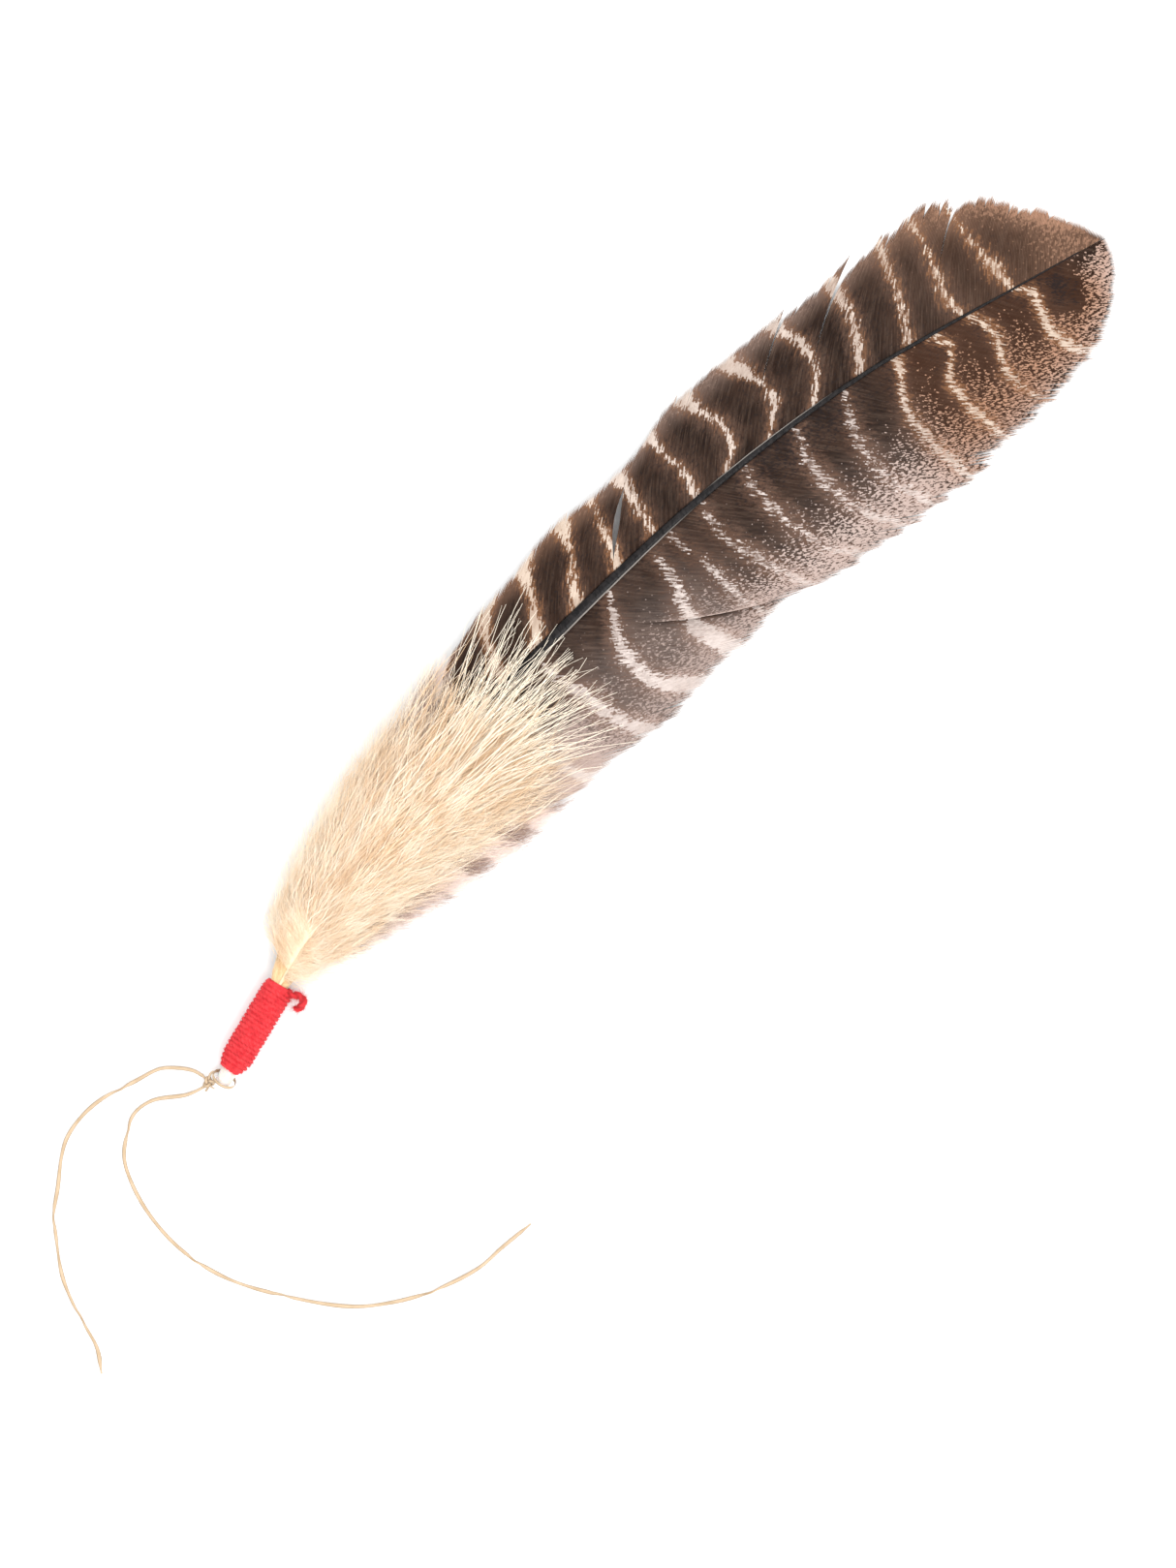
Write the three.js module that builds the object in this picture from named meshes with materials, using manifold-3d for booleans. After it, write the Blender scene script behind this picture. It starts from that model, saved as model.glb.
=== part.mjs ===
// A ceremonial feather: a barred turkey feather with a marabou plume laid over its base, red yarn wound
// round both quills as a handle, and a raffia tie round the bare quill end.
//
// Millimetres, +Z up. The feather lies back up on a table at z = 0. The origin is the middle of the flat
// that the handle rests on, and +Y runs towards the feather's tip. The shaft bows towards -X, and the wide
// vane is on +X.
import * as THREE from "three";
import { mergeVertices } from "three/addons/utils/BufferGeometryUtils.js";
import Module from "manifold-3d";

const wasm = await Module();
wasm.setup();

// Clearance between neighbouring solids.
const GAP = 0.3;

// The yarn handle: a sleeve of wound turns, its axis turned from +Y towards -X.
const HANDLE = {
  lean: THREE.MathUtils.degToRad(15.9),
  axisHeight: 3.8,
  length: 25.4,
  radius: 4.05,
  bore: 3.3,
  turns: 22,
  grooveDepth: 0.15,
  // How far each end is rounded off, over how many turns, and the thinnest that the sleeve may get.
  nearRounding: { depth: 1.25, turns: 3.6 },
  farRounding: { depth: 0.75, turns: 1.5 },
  thinnest: 0.2,
  sides: 24,
};
// Depth of the block that stands for the table where the handle is pressed flat.
const TABLE_DEPTH = 2;

// The bare quill: a hollow tube that lies low in the sleeve and pokes out below it.
const CALAMUS = {
  radius: 2.05,
  wall: 0.45,
  endRadius: 1.85,
  start: -16.2,
  shoulder: -13.2,
  end: 21.5,
  axisHeight: 3.05,
  sides: 20,
};

// The dried pulp inside the quill.
const PULP = { radius: 0.9, farRadius: 0.63, start: -12, end: 17, sides: 8 };

// The shaft beyond the bare quill: x, y, height of the vanes' roots and width, from its base to its end.
// The last row is the feather's tip, past the shaft's end, where the two vanes meet.
const SHAFT_ROWS = [
  [-6.2, 22, 3.4, 3.9],
  [-9.6, 38, 4.4, 3.8],
  [-13.6, 60, 5.9, 3.6],
  [-17.0, 85, 7.3, 3.4],
  [-19.4, 112, 8.2, 3.1],
  [-20.3, 140, 8.5, 2.6],
  [-20.2, 168, 8.2, 2.0],
  [-18.3, 195, 7.2, 1.6],
  [-14.9, 220, 5.7, 1.2],
  [-10.0, 242, 4.1, 0.9],
  [-5.0, 262, 2.5, 0.6],
  [-0.6, 280, 1.2, 0.4],
  [1.4, 288, 0.6, 0.4],
];
const SHAFT_END = 280;
const SHAFT_STEPS = 48;
const SHAFT_SIDES = 12;
// How far the shaft's axis lies below the roots of the vanes, as a share of its width.
const SHAFT_SINK = 0.15;

// The vanes curve down from the shaft to the table at these distances from it.
const VANE = {
  thickness: 0.5,
  leftReach: 24,
  rightReach: 37,
  edgeHeight: 0.35,
  camber: 1.7,
  alongSteps: 12,
  acrossSteps: 6,
};
const DOWN_THICKNESS = 1.1;

// Each lobe of a vane is a run of barbs that hook together, from one split in the web to the next: the
// stretch of shaft that its barbs leave, and the outline that they end on.
const LEFT_LOBES = {
  vane_left_base: {
    root: [76, 141],
    edge: [[-35, 100], [-37.5, 113], [-38.7, 126], [-40.8, 139], [-39.6, 152], [-39.4, 166]],
  },
  vane_left_lower: {
    root: [142, 187],
    edge: [[-39.8, 168], [-42.6, 180], [-42.4, 192], [-41.2, 204], [-40.6, 218.5]],
  },
  vane_left_upper: {
    root: [188, 203],
    edge: [[-39, 220], [-38.8, 230], [-39.6, 240.5]],
  },
  vane_left_shoulder: {
    root: [204, 240],
    edge: [[-37, 243], [-36.6, 253], [-35.8, 261], [-31, 267]],
  },
  vane_left_tip: {
    root: [241, 287],
    edge: [[-29.5, 269.5], [-22, 276.5], [-13, 282], [-5, 285.8], [0.9, 287.6]],
  },
};
const RIGHT_LOBES = {
  vane_right_base: {
    root: [59, 126],
    edge: [[13.2, 100], [13, 112], [15, 125], [14.2, 140], [14, 155], [13.2, 171]],
  },
  vane_right_middle: {
    root: [127, 190],
    edge: [[14.2, 174], [17.6, 184], [19.6, 196], [21.6, 210], [22.8, 222], [22.8, 233]],
  },
  vane_right_tip: {
    root: [191, 287],
    edge: [[22.6, 235], [22.4, 250], [21.4, 262], [19.2, 271], [13.5, 280], [7.5, 285.5], [2, 287.6]],
  },
};
const DOWNY_BASES = {
  downy_base_left: {
    root: [23, 75],
    edge: [[-15, 30], [-22, 44], [-27.5, 62], [-31.5, 80], [-34.6, 98.5]],
  },
  downy_base_right: {
    root: [23, 58],
    edge: [[1.5, 27], [5.6, 38], [8.6, 52], [11, 66], [12.8, 82], [13.2, 98.5]],
  },
};

// The marabou plume: a thin quill bound under the yarn beside the calamus, and down on both sides of it.
const PLUME_QUILL = {
  points: [
    [2.2, -8, 6.0],
    [-0.8, 3, 6.1],
    [-3.6, 12, 6.5],
    [-6.4, 22, 7.3],
    [-8.8, 36, 8.6],
    [-11.0, 56, 10.0],
    [-12.6, 76, 11.2],
  ],
  radius: 0.45,
  endShare: 0.5,
  sides: 8,
  steps: 24,
};
const PLUME_DOWN = {
  base: 20,
  end: 121,
  // Outer edge of the down on each side at five places from its base to its end.
  left: [[-14, 20], [-25.5, 44], [-31.5, 68], [-33.5, 92], [-26, 121]],
  right: [[1.5, 20], [3.5, 44], [7, 68], [10.5, 92], [8, 121]],
  // Thickness over the quill from base to end, and at the outer edge.
  crown: 6.5,
  rim: 1.2,
  lift: 0.7,
  quillClearance: 0.35,
  // The distance beside the shaft over which the down steps down from it to the web.
  shaftBlend: 2,
  // The stretch of a half wave that the mound follows from its base to its end.
  mound: [0.12, 0.94],
  alongSteps: 12,
  acrossSteps: 6,
};
// The short dense barbs at the plume's root, which reach further at their far end than at their near end.
const PLUME_BASE = {
  from: 13.4,
  to: 19.4,
  leftReach: 4.6,
  rightReach: 2.8,
  nearShare: 0.85,
  farShare: 1.15,
  height: 5.45,
  thickness: 0.35,
  drape: 0.09,
  alongSteps: 6,
  acrossSteps: 8,
};

// The yarn's end, tied off in a small loop at the top of the handle.
const YARN_TAIL = {
  points: [[1.7, 12.5, 5.0], [2.4, 13.7, 5.6], [3.9, 13.6, 5.7], [4.5, 12.1, 5.0], [4.1, 10.7, 4.2]],
  radius: 0.8,
  sides: 10,
  steps: 10,
};

// The raffia tie: a loop round the quill's bare end, an overhand knot beside it and two long free strands.
const RAFFIA = { radius: 0.5, sides: 8, stepLength: 3.2 };
// The loop leans: it crosses over the quill at its rim and passes under it just short of the handle's end.
const RAFFIA_LOOP = {
  radius: 3.1,
  tube: 0.35,
  along: -14.95,
  lean: THREE.MathUtils.degToRad(31),
  tubeSides: 8,
  steps: 32,
};
const RAFFIA_KNOT = { centre: [2.0, -17.75, 2.5], size: 1.0, tube: 0.34, tubularSteps: 48, sides: 8 };
const STRAND_LEFT = [
  [-0.15, -17.7, 2.2],
  [-3.0, -18.8, 0.9],
  [-7.2, -22.4, 0.55],
  [-8.9, -24.8, 0.55],
  [-10.7, -31.2, 0.55],
  [-13.1, -40.2, 0.55],
  [-13.3, -46.9, 0.55],
  [-12.0, -52.7, 0.55],
  [-9.7, -56.7, 0.55],
  [-4.4, -63.1, 0.55],
  [-0.6, -67.9, 0.55],
  [4.6, -72.0, 0.55],
  [12.0, -77.0, 0.55],
  [18.5, -79.7, 0.55],
  [25.2, -81.5, 0.55],
  [31.2, -83.1, 0.55],
  [36.6, -86.6, 0.55],
];
const STRAND_RIGHT = [
  [1.9, -19.9, 2.1],
  [1.4, -21.8, 1.15],
  [0.4, -24.2, 0.68],
  [-4.3, -31.3, 0.55],
  [-4.9, -36.8, 0.55],
  [-1.8, -42.4, 0.55],
  [1.6, -46.1, 0.55],
  [7.7, -49.0, 0.55],
  [16.8, -51.1, 0.55],
  [27.7, -51.2, 0.55],
  [40.0, -48.0, 0.55],
  [52.4, -41.1, 0.55],
  [66.5, -30.3, 0.55],
  [72.3, -22.9, 0.55],
  [77.3, -13.7, 0.55],
  [81.3, -0.8, 0.55],
  [81.6, 7.2, 0.55],
  [82.2, 16.4, 0.55],
];

function finish(color, roughness) {
  return new THREE.MeshStandardMaterial({ color, roughness, metalness: 0 });
}
const MATERIALS = {
  horn: finish(0xe9e2d6, 0.35),
  shaft: finish(0x17171a, 0.25),
  pulp: finish(0xcdbfa6, 0.9),
  vane: finish(0x55443a, 0.7),
  paleDown: finish(0xd9cbc3, 0.95),
  plumeHorn: finish(0xf0e0a8, 0.4),
  cream: finish(0xf3dfbf, 0.95),
  tan: finish(0xe8bf87, 0.9),
  yarn: finish(0xe8303f, 0.9),
  raffia: finish(0xe8bd83, 0.6),
};

function named(name, geometry, material) {
  const mesh = new THREE.Mesh(geometry, material);
  mesh.name = name;
  return mesh;
}

// A closed shape: every vertex of a primitive is moved by place(point). Faces stay shared.
function reshaped(primitive, place) {
  primitive.deleteAttribute("normal");
  primitive.deleteAttribute("uv");
  const geometry = mergeVertices(primitive, 1e-4);
  const position = geometry.attributes.position;
  const point = new THREE.Vector3();
  for (let i = 0; i < position.count; i++) {
    place(point.fromBufferAttribute(position, i));
    position.setXYZ(i, point.x, point.y, point.z);
  }
  geometry.computeVertexNormals();
  return geometry;
}

// A slab: place(u, v, w, point) sets the point for u along it, v across it and w through it, each
// from 0 to 1.
function bentSlab(uSteps, vSteps, place) {
  return reshaped(new THREE.BoxGeometry(1, 1, 1, uSteps, vSteps, 1), (p) => {
    place(p.x + 0.5, p.y + 0.5, p.z + 0.5, p);
  });
}

// A bar along a curve whose round section changes: radiusAt(u) gives its radius for u from 0 to 1.
function taperedBar(curve, radiusAt, sides, steps) {
  const frames = curve.computeFrenetFrames(steps, false);
  const cylinder = new THREE.CylinderGeometry(1, 1, 1, sides, steps);
  return reshaped(cylinder, (p) => {
    const u = THREE.MathUtils.clamp(0.5 - p.y, 0, 1);
    const i = Math.round(u * steps);
    const radius = radiusAt(u);
    const { x, z } = p;
    p.copy(curve.getPointAt(u));
    p.addScaledVector(frames.normals[i], x * radius);
    p.addScaledVector(frames.binormals[i], z * radius);
  });
}

function curveThrough(points) {
  const vectors = points.map(([x, y, z = 0]) => new THREE.Vector3(x, y, z));
  return new THREE.CatmullRomCurve3(vectors, false, "centripetal");
}

// The shaft at y: its x, the height of the vanes' roots and its width.
const shaftTable = new THREE.CubicInterpolant(
  SHAFT_ROWS.map((row) => row[1]),
  SHAFT_ROWS.flatMap(([x, , z, width]) => [x, z, width]),
  3,
);
function shaftAt(y) {
  const [x, z, width] = shaftTable.evaluate(y);
  return { x, z, width };
}

// Height of the web's middle at a place in plan: it falls from the shaft to the table.
function webHeight(x, y) {
  const shaft = shaftAt(y);
  const reach = x < shaft.x ? VANE.leftReach : VANE.rightReach;
  const share = Math.min(1, Math.abs(x - shaft.x) / reach);
  return VANE.edgeHeight + (shaft.z - VANE.edgeHeight) * (1 - share ** VANE.camber);
}

// One lobe of a vane, or of the down at the vane's base: barbs from a stretch of the shaft to an outline.
function webLobe(side, { root, edge }, thickness, rise) {
  const outline = curveThrough(edge);
  const from = new THREE.Vector2();
  return bentSlab(VANE.alongSteps, VANE.acrossSteps, (u, v, w, point) => {
    const y = THREE.MathUtils.lerp(root[0], root[1], u);
    const shaft = shaftAt(y);
    from.set(shaft.x + side * (shaft.width / 2 + GAP), y);
    const to = outline.getPointAt(u);
    const across = side > 0 ? v : 1 - v;
    const x = THREE.MathUtils.lerp(to.x, from.x, across);
    const yHere = THREE.MathUtils.lerp(to.y, from.y, across);
    point.set(x, yHere, webHeight(x, yHere) + rise + (w - 0.5) * thickness);
  });
}

function lobes(table, side, thickness, rise, material) {
  return Object.entries(table).map(([name, lobe]) =>
    named(name, webLobe(side, lobe, thickness, rise), material),
  );
}

function vanes() {
  const group = new THREE.Group();
  group.add(...lobes(LEFT_LOBES, -1, VANE.thickness, 0, MATERIALS.vane));
  group.add(...lobes(RIGHT_LOBES, 1, VANE.thickness, 0, MATERIALS.vane));
  const rise = (DOWN_THICKNESS - VANE.thickness) / 2;
  const { downy_base_left, downy_base_right } = DOWNY_BASES;
  group.add(...lobes({ downy_base_left }, -1, DOWN_THICKNESS, rise, MATERIALS.paleDown));
  group.add(...lobes({ downy_base_right }, 1, DOWN_THICKNESS, rise, MATERIALS.paleDown));
  return group;
}

function rachis() {
  const rows = SHAFT_ROWS.filter((row) => row[1] <= SHAFT_END);
  const line = curveThrough(rows.map(([x, y, z, width]) => [x, y, z - SHAFT_SINK * width]));
  const radiusAt = (u) => shaftAt(line.getPointAt(u).y).width / 2;
  return named("rachis", taperedBar(line, radiusAt, SHAFT_SIDES, SHAFT_STEPS), MATERIALS.shaft);
}

// The hollow quill, turned about its own axis, which is the lathe's Y.
function calamus() {
  const { radius, wall, endRadius, start, shoulder, end, sides } = CALAMUS;
  const profile = [
    [endRadius - wall, start],
    [endRadius, start],
    [radius, shoulder],
    [radius, end],
    [radius - wall, end],
    [radius - wall, shoulder],
    [endRadius - wall, start],
  ];
  const points = profile.map(([r, along]) => new THREE.Vector2(r, along));
  return named("calamus", new THREE.LatheGeometry(points, sides), MATERIALS.horn);
}

function pulp() {
  const { radius, farRadius, start, end, sides } = PULP;
  const rod = new THREE.CylinderGeometry(farRadius, radius, end - start, sides);
  const mesh = named("quill_pulp", rod, MATERIALS.pulp);
  mesh.position.y = (start + end) / 2;
  return mesh;
}

// The quill and its pulp share one axis, that of the handle in plan.
function bareQuill() {
  const group = new THREE.Group();
  group.position.z = CALAMUS.axisHeight;
  group.rotation.z = HANDLE.lean;
  group.add(calamus(), pulp());
  return group;
}

// How much thinner the wound yarn is at that many turns from an end.
function endRounding(turnsToEnd, { depth, turns }) {
  return depth * Math.max(0, 1 - turnsToEnd / turns) ** 2;
}

// Radius of the wound yarn, with its ends rounded off: share runs from 0 to 1 along the handle.
function windingRadius(share) {
  const { radius, turns, bore, thinnest, nearRounding, farRounding } = HANDLE;
  const near = endRounding(share * turns, nearRounding);
  const far = endRounding((1 - share) * turns, farRounding);
  return Math.max(bore + thinnest, radius - near - far);
}

function windingProfile() {
  const { length, bore, turns, grooveDepth } = HANDLE;
  const points = [new THREE.Vector2(bore, -length / 2)];
  for (let i = 0; i <= 2 * turns; i++) {
    const share = i / (2 * turns);
    const depth = i % 2 ? 0 : grooveDepth;
    points.push(new THREE.Vector2(windingRadius(share) - depth, (share - 0.5) * length));
  }
  points.push(new THREE.Vector2(bore, length / 2));
  points.push(points[0].clone());
  return points;
}

function toSolid(geometry) {
  geometry.deleteAttribute("normal");
  geometry.deleteAttribute("uv");
  const merged = mergeVertices(geometry, 1e-4);
  return new wasm.Manifold(
    new wasm.Mesh({
      numProp: 3,
      vertProperties: new Float32Array(merged.attributes.position.array),
      triVerts: new Uint32Array(merged.index.array),
    }),
  );
}

function toGeometry(solid) {
  const { vertProperties, triVerts } = solid.getMesh();
  const geometry = new THREE.BufferGeometry();
  geometry.setAttribute("position", new THREE.BufferAttribute(vertProperties, 3));
  geometry.setIndex(new THREE.BufferAttribute(triVerts, 1));
  geometry.computeVertexNormals();
  return geometry;
}

// The wound yarn, pressed flat where it rests on the table.
function winding() {
  const turned = new THREE.LatheGeometry(windingProfile(), HANDLE.sides);
  turned.rotateZ(HANDLE.lean);
  turned.translate(0, 0, HANDLE.axisHeight);
  const table = new THREE.BoxGeometry(2 * HANDLE.length, 2 * HANDLE.length, TABLE_DEPTH);
  table.translate(0, 0, -TABLE_DEPTH / 2);
  const pressed = toSolid(turned).subtract(toSolid(table));
  return named("yarn_winding", toGeometry(pressed), MATERIALS.yarn);
}

function yarnTail() {
  const { points, radius, sides, steps } = YARN_TAIL;
  const bar = taperedBar(curveThrough(points), () => radius, sides, steps);
  return named("yarn_tail", bar, MATERIALS.yarn);
}

function plumeQuill() {
  const { points, radius, endShare, sides, steps } = PLUME_QUILL;
  const radiusAt = (u) => radius * THREE.MathUtils.lerp(1, endShare, u);
  const bar = taperedBar(curveThrough(points), radiusAt, sides, steps);
  return named("plume_quill", bar, MATERIALS.plumeHorn);
}

// Lowest height that the plume's down may have at a place in plan: clear of the web and of the shaft.
function aboveFeather(x, y) {
  const shaft = shaftAt(Math.max(y, SHAFT_ROWS[0][1]));
  const overShaft = shaft.z + (0.5 - SHAFT_SINK) * shaft.width + PLUME_DOWN.quillClearance;
  const web = webHeight(x, Math.max(y, SHAFT_ROWS[0][1])) + VANE.thickness / 2 + PLUME_DOWN.lift;
  const blend = PLUME_DOWN.shaftBlend;
  const nearness = THREE.MathUtils.smoothstep(shaft.width + blend - Math.abs(x - shaft.x), 0, blend);
  return THREE.MathUtils.lerp(web, Math.max(web, overShaft), nearness);
}

// Down on one side of the plume's quill: a mound, thick beside the quill and thin at its rim and its
// two ends.
function plumeDown(name, side, outlinePoints) {
  const outline = curveThrough(outlinePoints);
  const { base, end, crown, rim, quillClearance, mound, alongSteps, acrossSteps } = PLUME_DOWN;
  const quill = curveThrough(PLUME_QUILL.points);
  const quillEnd = PLUME_QUILL.points.at(-1);
  const quillX = (y) => {
    if (y >= quillEnd[1]) return quillEnd[0];
    const table = PLUME_QUILL.points;
    const i = table.findIndex((p) => p[1] > y);
    return THREE.MathUtils.mapLinear(y, table[i - 1][1], table[i][1], table[i - 1][0], table[i][0]);
  };
  const geometry = bentSlab(alongSteps, acrossSteps, (u, v, w, point) => {
    const y = THREE.MathUtils.lerp(base, end, u);
    const inner = quillX(y) + side * (PLUME_QUILL.radius + quillClearance);
    const outer = outline.getPointAt(u).x;
    const across = side > 0 ? 1 - v : v;
    const x = THREE.MathUtils.lerp(inner, outer, across);
    const swell = Math.sin(Math.PI * THREE.MathUtils.lerp(...mound, u));
    const thickness = rim + (crown - rim) * swell * (1 - across ** 2);
    point.set(x, y, aboveFeather(x, y) + w * thickness);
  });
  return named(name, geometry, MATERIALS.cream);
}

// The short dense barbs at the root of the plume, lying flat over the calamus.
function plumeBase() {
  const { from, to, leftReach, rightReach, nearShare, farShare } = PLUME_BASE;
  const { height, thickness, drape, alongSteps, acrossSteps } = PLUME_BASE;
  const slope = Math.tan(HANDLE.lean);
  const geometry = bentSlab(alongSteps, acrossSteps, (u, v, w, point) => {
    const y = THREE.MathUtils.lerp(from, to, u);
    const spread = THREE.MathUtils.lerp(nearShare, farShare, u);
    const offset = THREE.MathUtils.lerp(rightReach, -leftReach, v) * spread;
    point.set(-y * slope + offset, y, height - drape * offset ** 2 + w * thickness);
  });
  return named("plume_base_barbs", geometry, MATERIALS.tan);
}

function plume() {
  const group = new THREE.Group();
  group.add(plumeQuill(), plumeBase());
  group.add(plumeDown("plume_down_left", -1, PLUME_DOWN.left));
  group.add(plumeDown("plume_down_right", 1, PLUME_DOWN.right));
  return group;
}

function raffiaLoop() {
  const { radius, tube, along, lean, tubeSides, steps } = RAFFIA_LOOP;
  const torus = new THREE.TorusGeometry(radius, tube, tubeSides, steps);
  const ring = named("raffia_loop", torus, MATERIALS.raffia);
  ring.rotation.x = Math.PI / 2 + lean;
  ring.position.y = along;
  const group = new THREE.Group();
  group.position.z = CALAMUS.axisHeight;
  group.rotation.z = HANDLE.lean;
  group.add(ring);
  return group;
}

function raffiaKnot() {
  const { centre, size, tube, tubularSteps, sides } = RAFFIA_KNOT;
  const tied = new THREE.TorusKnotGeometry(size, tube, tubularSteps, sides);
  const knot = named("raffia_knot", tied, MATERIALS.raffia);
  knot.position.set(...centre);
  return knot;
}

function raffiaStrand(name, points) {
  const line = curveThrough(points);
  const section = new THREE.Shape();
  section.absarc(0, 0, RAFFIA.radius, 0, 2 * Math.PI);
  const geometry = new THREE.ExtrudeGeometry(section, {
    extrudePath: line,
    steps: Math.round(line.getLength() / RAFFIA.stepLength),
    curveSegments: RAFFIA.sides / 2,
  });
  return named(name, geometry, MATERIALS.raffia);
}

function raffiaTie() {
  const group = new THREE.Group();
  group.add(raffiaLoop(), raffiaKnot());
  group.add(raffiaStrand("raffia_strand_left", STRAND_LEFT));
  group.add(raffiaStrand("raffia_strand_right", STRAND_RIGHT));
  return group;
}

const feather = new THREE.Group();
feather.add(bareQuill(), rachis(), vanes(), plume(), winding(), yarnTail(), raffiaTie());

export default feather;
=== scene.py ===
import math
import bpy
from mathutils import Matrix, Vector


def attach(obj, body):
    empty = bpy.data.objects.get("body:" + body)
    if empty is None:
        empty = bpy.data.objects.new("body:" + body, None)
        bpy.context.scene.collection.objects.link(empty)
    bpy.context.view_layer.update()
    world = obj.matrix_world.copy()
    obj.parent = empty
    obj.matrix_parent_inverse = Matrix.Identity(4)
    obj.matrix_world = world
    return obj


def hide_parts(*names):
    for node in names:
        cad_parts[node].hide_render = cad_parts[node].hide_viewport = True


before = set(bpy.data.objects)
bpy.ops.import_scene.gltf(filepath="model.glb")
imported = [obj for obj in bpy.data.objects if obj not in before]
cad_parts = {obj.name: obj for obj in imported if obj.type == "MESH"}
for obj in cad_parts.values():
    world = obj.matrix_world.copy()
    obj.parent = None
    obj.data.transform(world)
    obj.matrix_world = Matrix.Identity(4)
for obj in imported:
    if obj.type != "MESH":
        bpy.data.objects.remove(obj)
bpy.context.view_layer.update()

# A ceremonial feather: a barred turkey feather with a marabou plume over its base, a red yarn handle and a
# raffia tie.
# Lengths are millimetres in the object's frame, turned into metres where a mesh is made.
# The feather lies back up on a table at z = 0, its tip towards +Y and its wide vane on +X.
import zlib

import bpy
import numpy as np

MM = 0.001
UP = np.array([0, 0, 1.0])
# The surfaces of the yarn and the knot, and the middle lines of the yarn's loose fibres, come no lower over
# the table than this.
TABLE_CLEAR = 0.03
# The range that a wave's phase is drawn from, and its turn.
WAVE_TURN = 6.28

# ---------------------------------------------------------------- dimensions shared with the CAD

HANDLE = {"lean": math.radians(15.9), "height": 3.8, "length": 25.4, "radius": 4.05, "turns": 22}
CALAMUS = {"radius": 2.05, "wall": 0.45, "end_radius": 1.85, "start": -16.2, "end": 21.5, "height": 3.05}
PULP = {"radius": 0.9, "start": -12, "end": 17}

# The shaft: x, y, height of the vanes' roots and width.
SHAFT_ROWS = np.array([
    [-6.2, 22, 3.4, 3.9], [-9.6, 38, 4.4, 3.8], [-13.6, 60, 5.9, 3.6], [-17.0, 85, 7.3, 3.4],
    [-19.4, 112, 8.2, 3.1], [-20.3, 140, 8.5, 2.6], [-20.2, 168, 8.2, 2.0], [-18.3, 195, 7.2, 1.6],
    [-14.9, 220, 5.7, 1.2], [-10.0, 242, 4.1, 0.9], [-5.0, 262, 2.5, 0.6], [-0.6, 280, 1.2, 0.4],
    [1.4, 288, 0.6, 0.4],
])
SHAFT_END = 280
SHAFT_SINK = 0.15
VANE = {"left_reach": 24, "right_reach": 37, "edge_height": 0.35, "camber": 1.7}

LEFT_LOBES = {
    "vane_left_base": ([76, 141], [(-35, 100), (-37.5, 113), (-38.7, 126), (-40.8, 139), (-39.6, 152),
                                   (-39.4, 166)]),
    "vane_left_lower": ([142, 187], [(-39.8, 168), (-42.6, 180), (-42.4, 192), (-41.2, 204), (-40.6, 218.5)]),
    "vane_left_upper": ([188, 203], [(-39, 220), (-38.8, 230), (-39.6, 240.5)]),
    "vane_left_shoulder": ([204, 240], [(-37, 243), (-36.6, 253), (-35.8, 261), (-31, 267)]),
    "vane_left_tip": ([241, 287], [(-29.5, 269.5), (-22, 276.5), (-13, 282), (-5, 285.8), (0.9, 287.6)]),
}
RIGHT_LOBES = {
    "vane_right_base": ([59, 126], [(13.2, 100), (13, 112), (15, 125), (14.2, 140), (14, 155), (13.2, 171)]),
    "vane_right_middle": ([127, 190], [(14.2, 174), (17.6, 184), (19.6, 196), (21.6, 210), (22.8, 222),
                                       (22.8, 233)]),
    "vane_right_tip": ([191, 287], [(22.6, 235), (22.4, 250), (21.4, 262), (19.2, 271), (13.5, 280),
                                    (7.5, 285.5),
                                    (2, 287.6)]),
}
DOWNY_LEFT = ([23, 75], [(-15, 30), (-22, 44), (-27.5, 62), (-31.5, 80), (-34.6, 98.5)])
DOWNY_RIGHT = ([23, 58], [(1.5, 27), (5.6, 38), (8.6, 52), (11, 66), (12.8, 82), (13.2, 98.5)])

PLUME_QUILL = [(2.2, -8, 6.0), (-0.8, 3, 6.1), (-3.6, 12, 6.5), (-6.4, 22, 7.3), (-8.8, 36, 8.6),
               (-11.0, 56, 10.0),
               (-12.6, 76, 11.2)]
YARN_TAIL = [(1.7, 12.5, 5.0), (2.4, 13.7, 5.6), (3.9, 13.6, 5.7), (4.5, 12.1, 5.0), (4.1, 10.7, 4.2)]
RAFFIA_LOOP = {"radius": 3.1, "along": -14.95, "lean": math.radians(31)}
RAFFIA_KNOT = (2.0, -17.75, 2.5)
RAFFIA_WIDTH = 1.0
KNOT_SIZE = 0.62
# From the knot: two strips to the loop, two cut stubs, and a strip to each strand, with a point count and
# width.
KNOT_ENDS = [
    ([(1.9, -17.45, 2.9), (2.6, -16.8, 3.4), (3.2, -16.2, 4.2), (3.6, -15.95, 5.0)], 40, 0.7),
    ([(1.6, -17.35, 2.7), (1.1, -16.6, 2.75), (0.8, -15.7, 2.85), (0.9, -14.9, 3.0)], 40, 0.6),
    ([(2.2, -18.05, 2.35), (2.9, -18.8, 1.9), (3.1, -19.9, 1.4)], 30, 0.55),
    ([(2.1, -17.8, 2.5), (3.2, -18.1, 2.2), (4.2, -17.8, 1.8)], 30, 0.5),
    ([(1.8, -17.8, 2.5), (0.8, -17.7, 2.4), (-0.35, -17.75, 2.15)], 30, 0.8),
    ([(2.0, -18.1, 2.4), (2.0, -19.1, 2.3), (1.87, -20.1, 2.03)], 30, 0.8),
]

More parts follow.
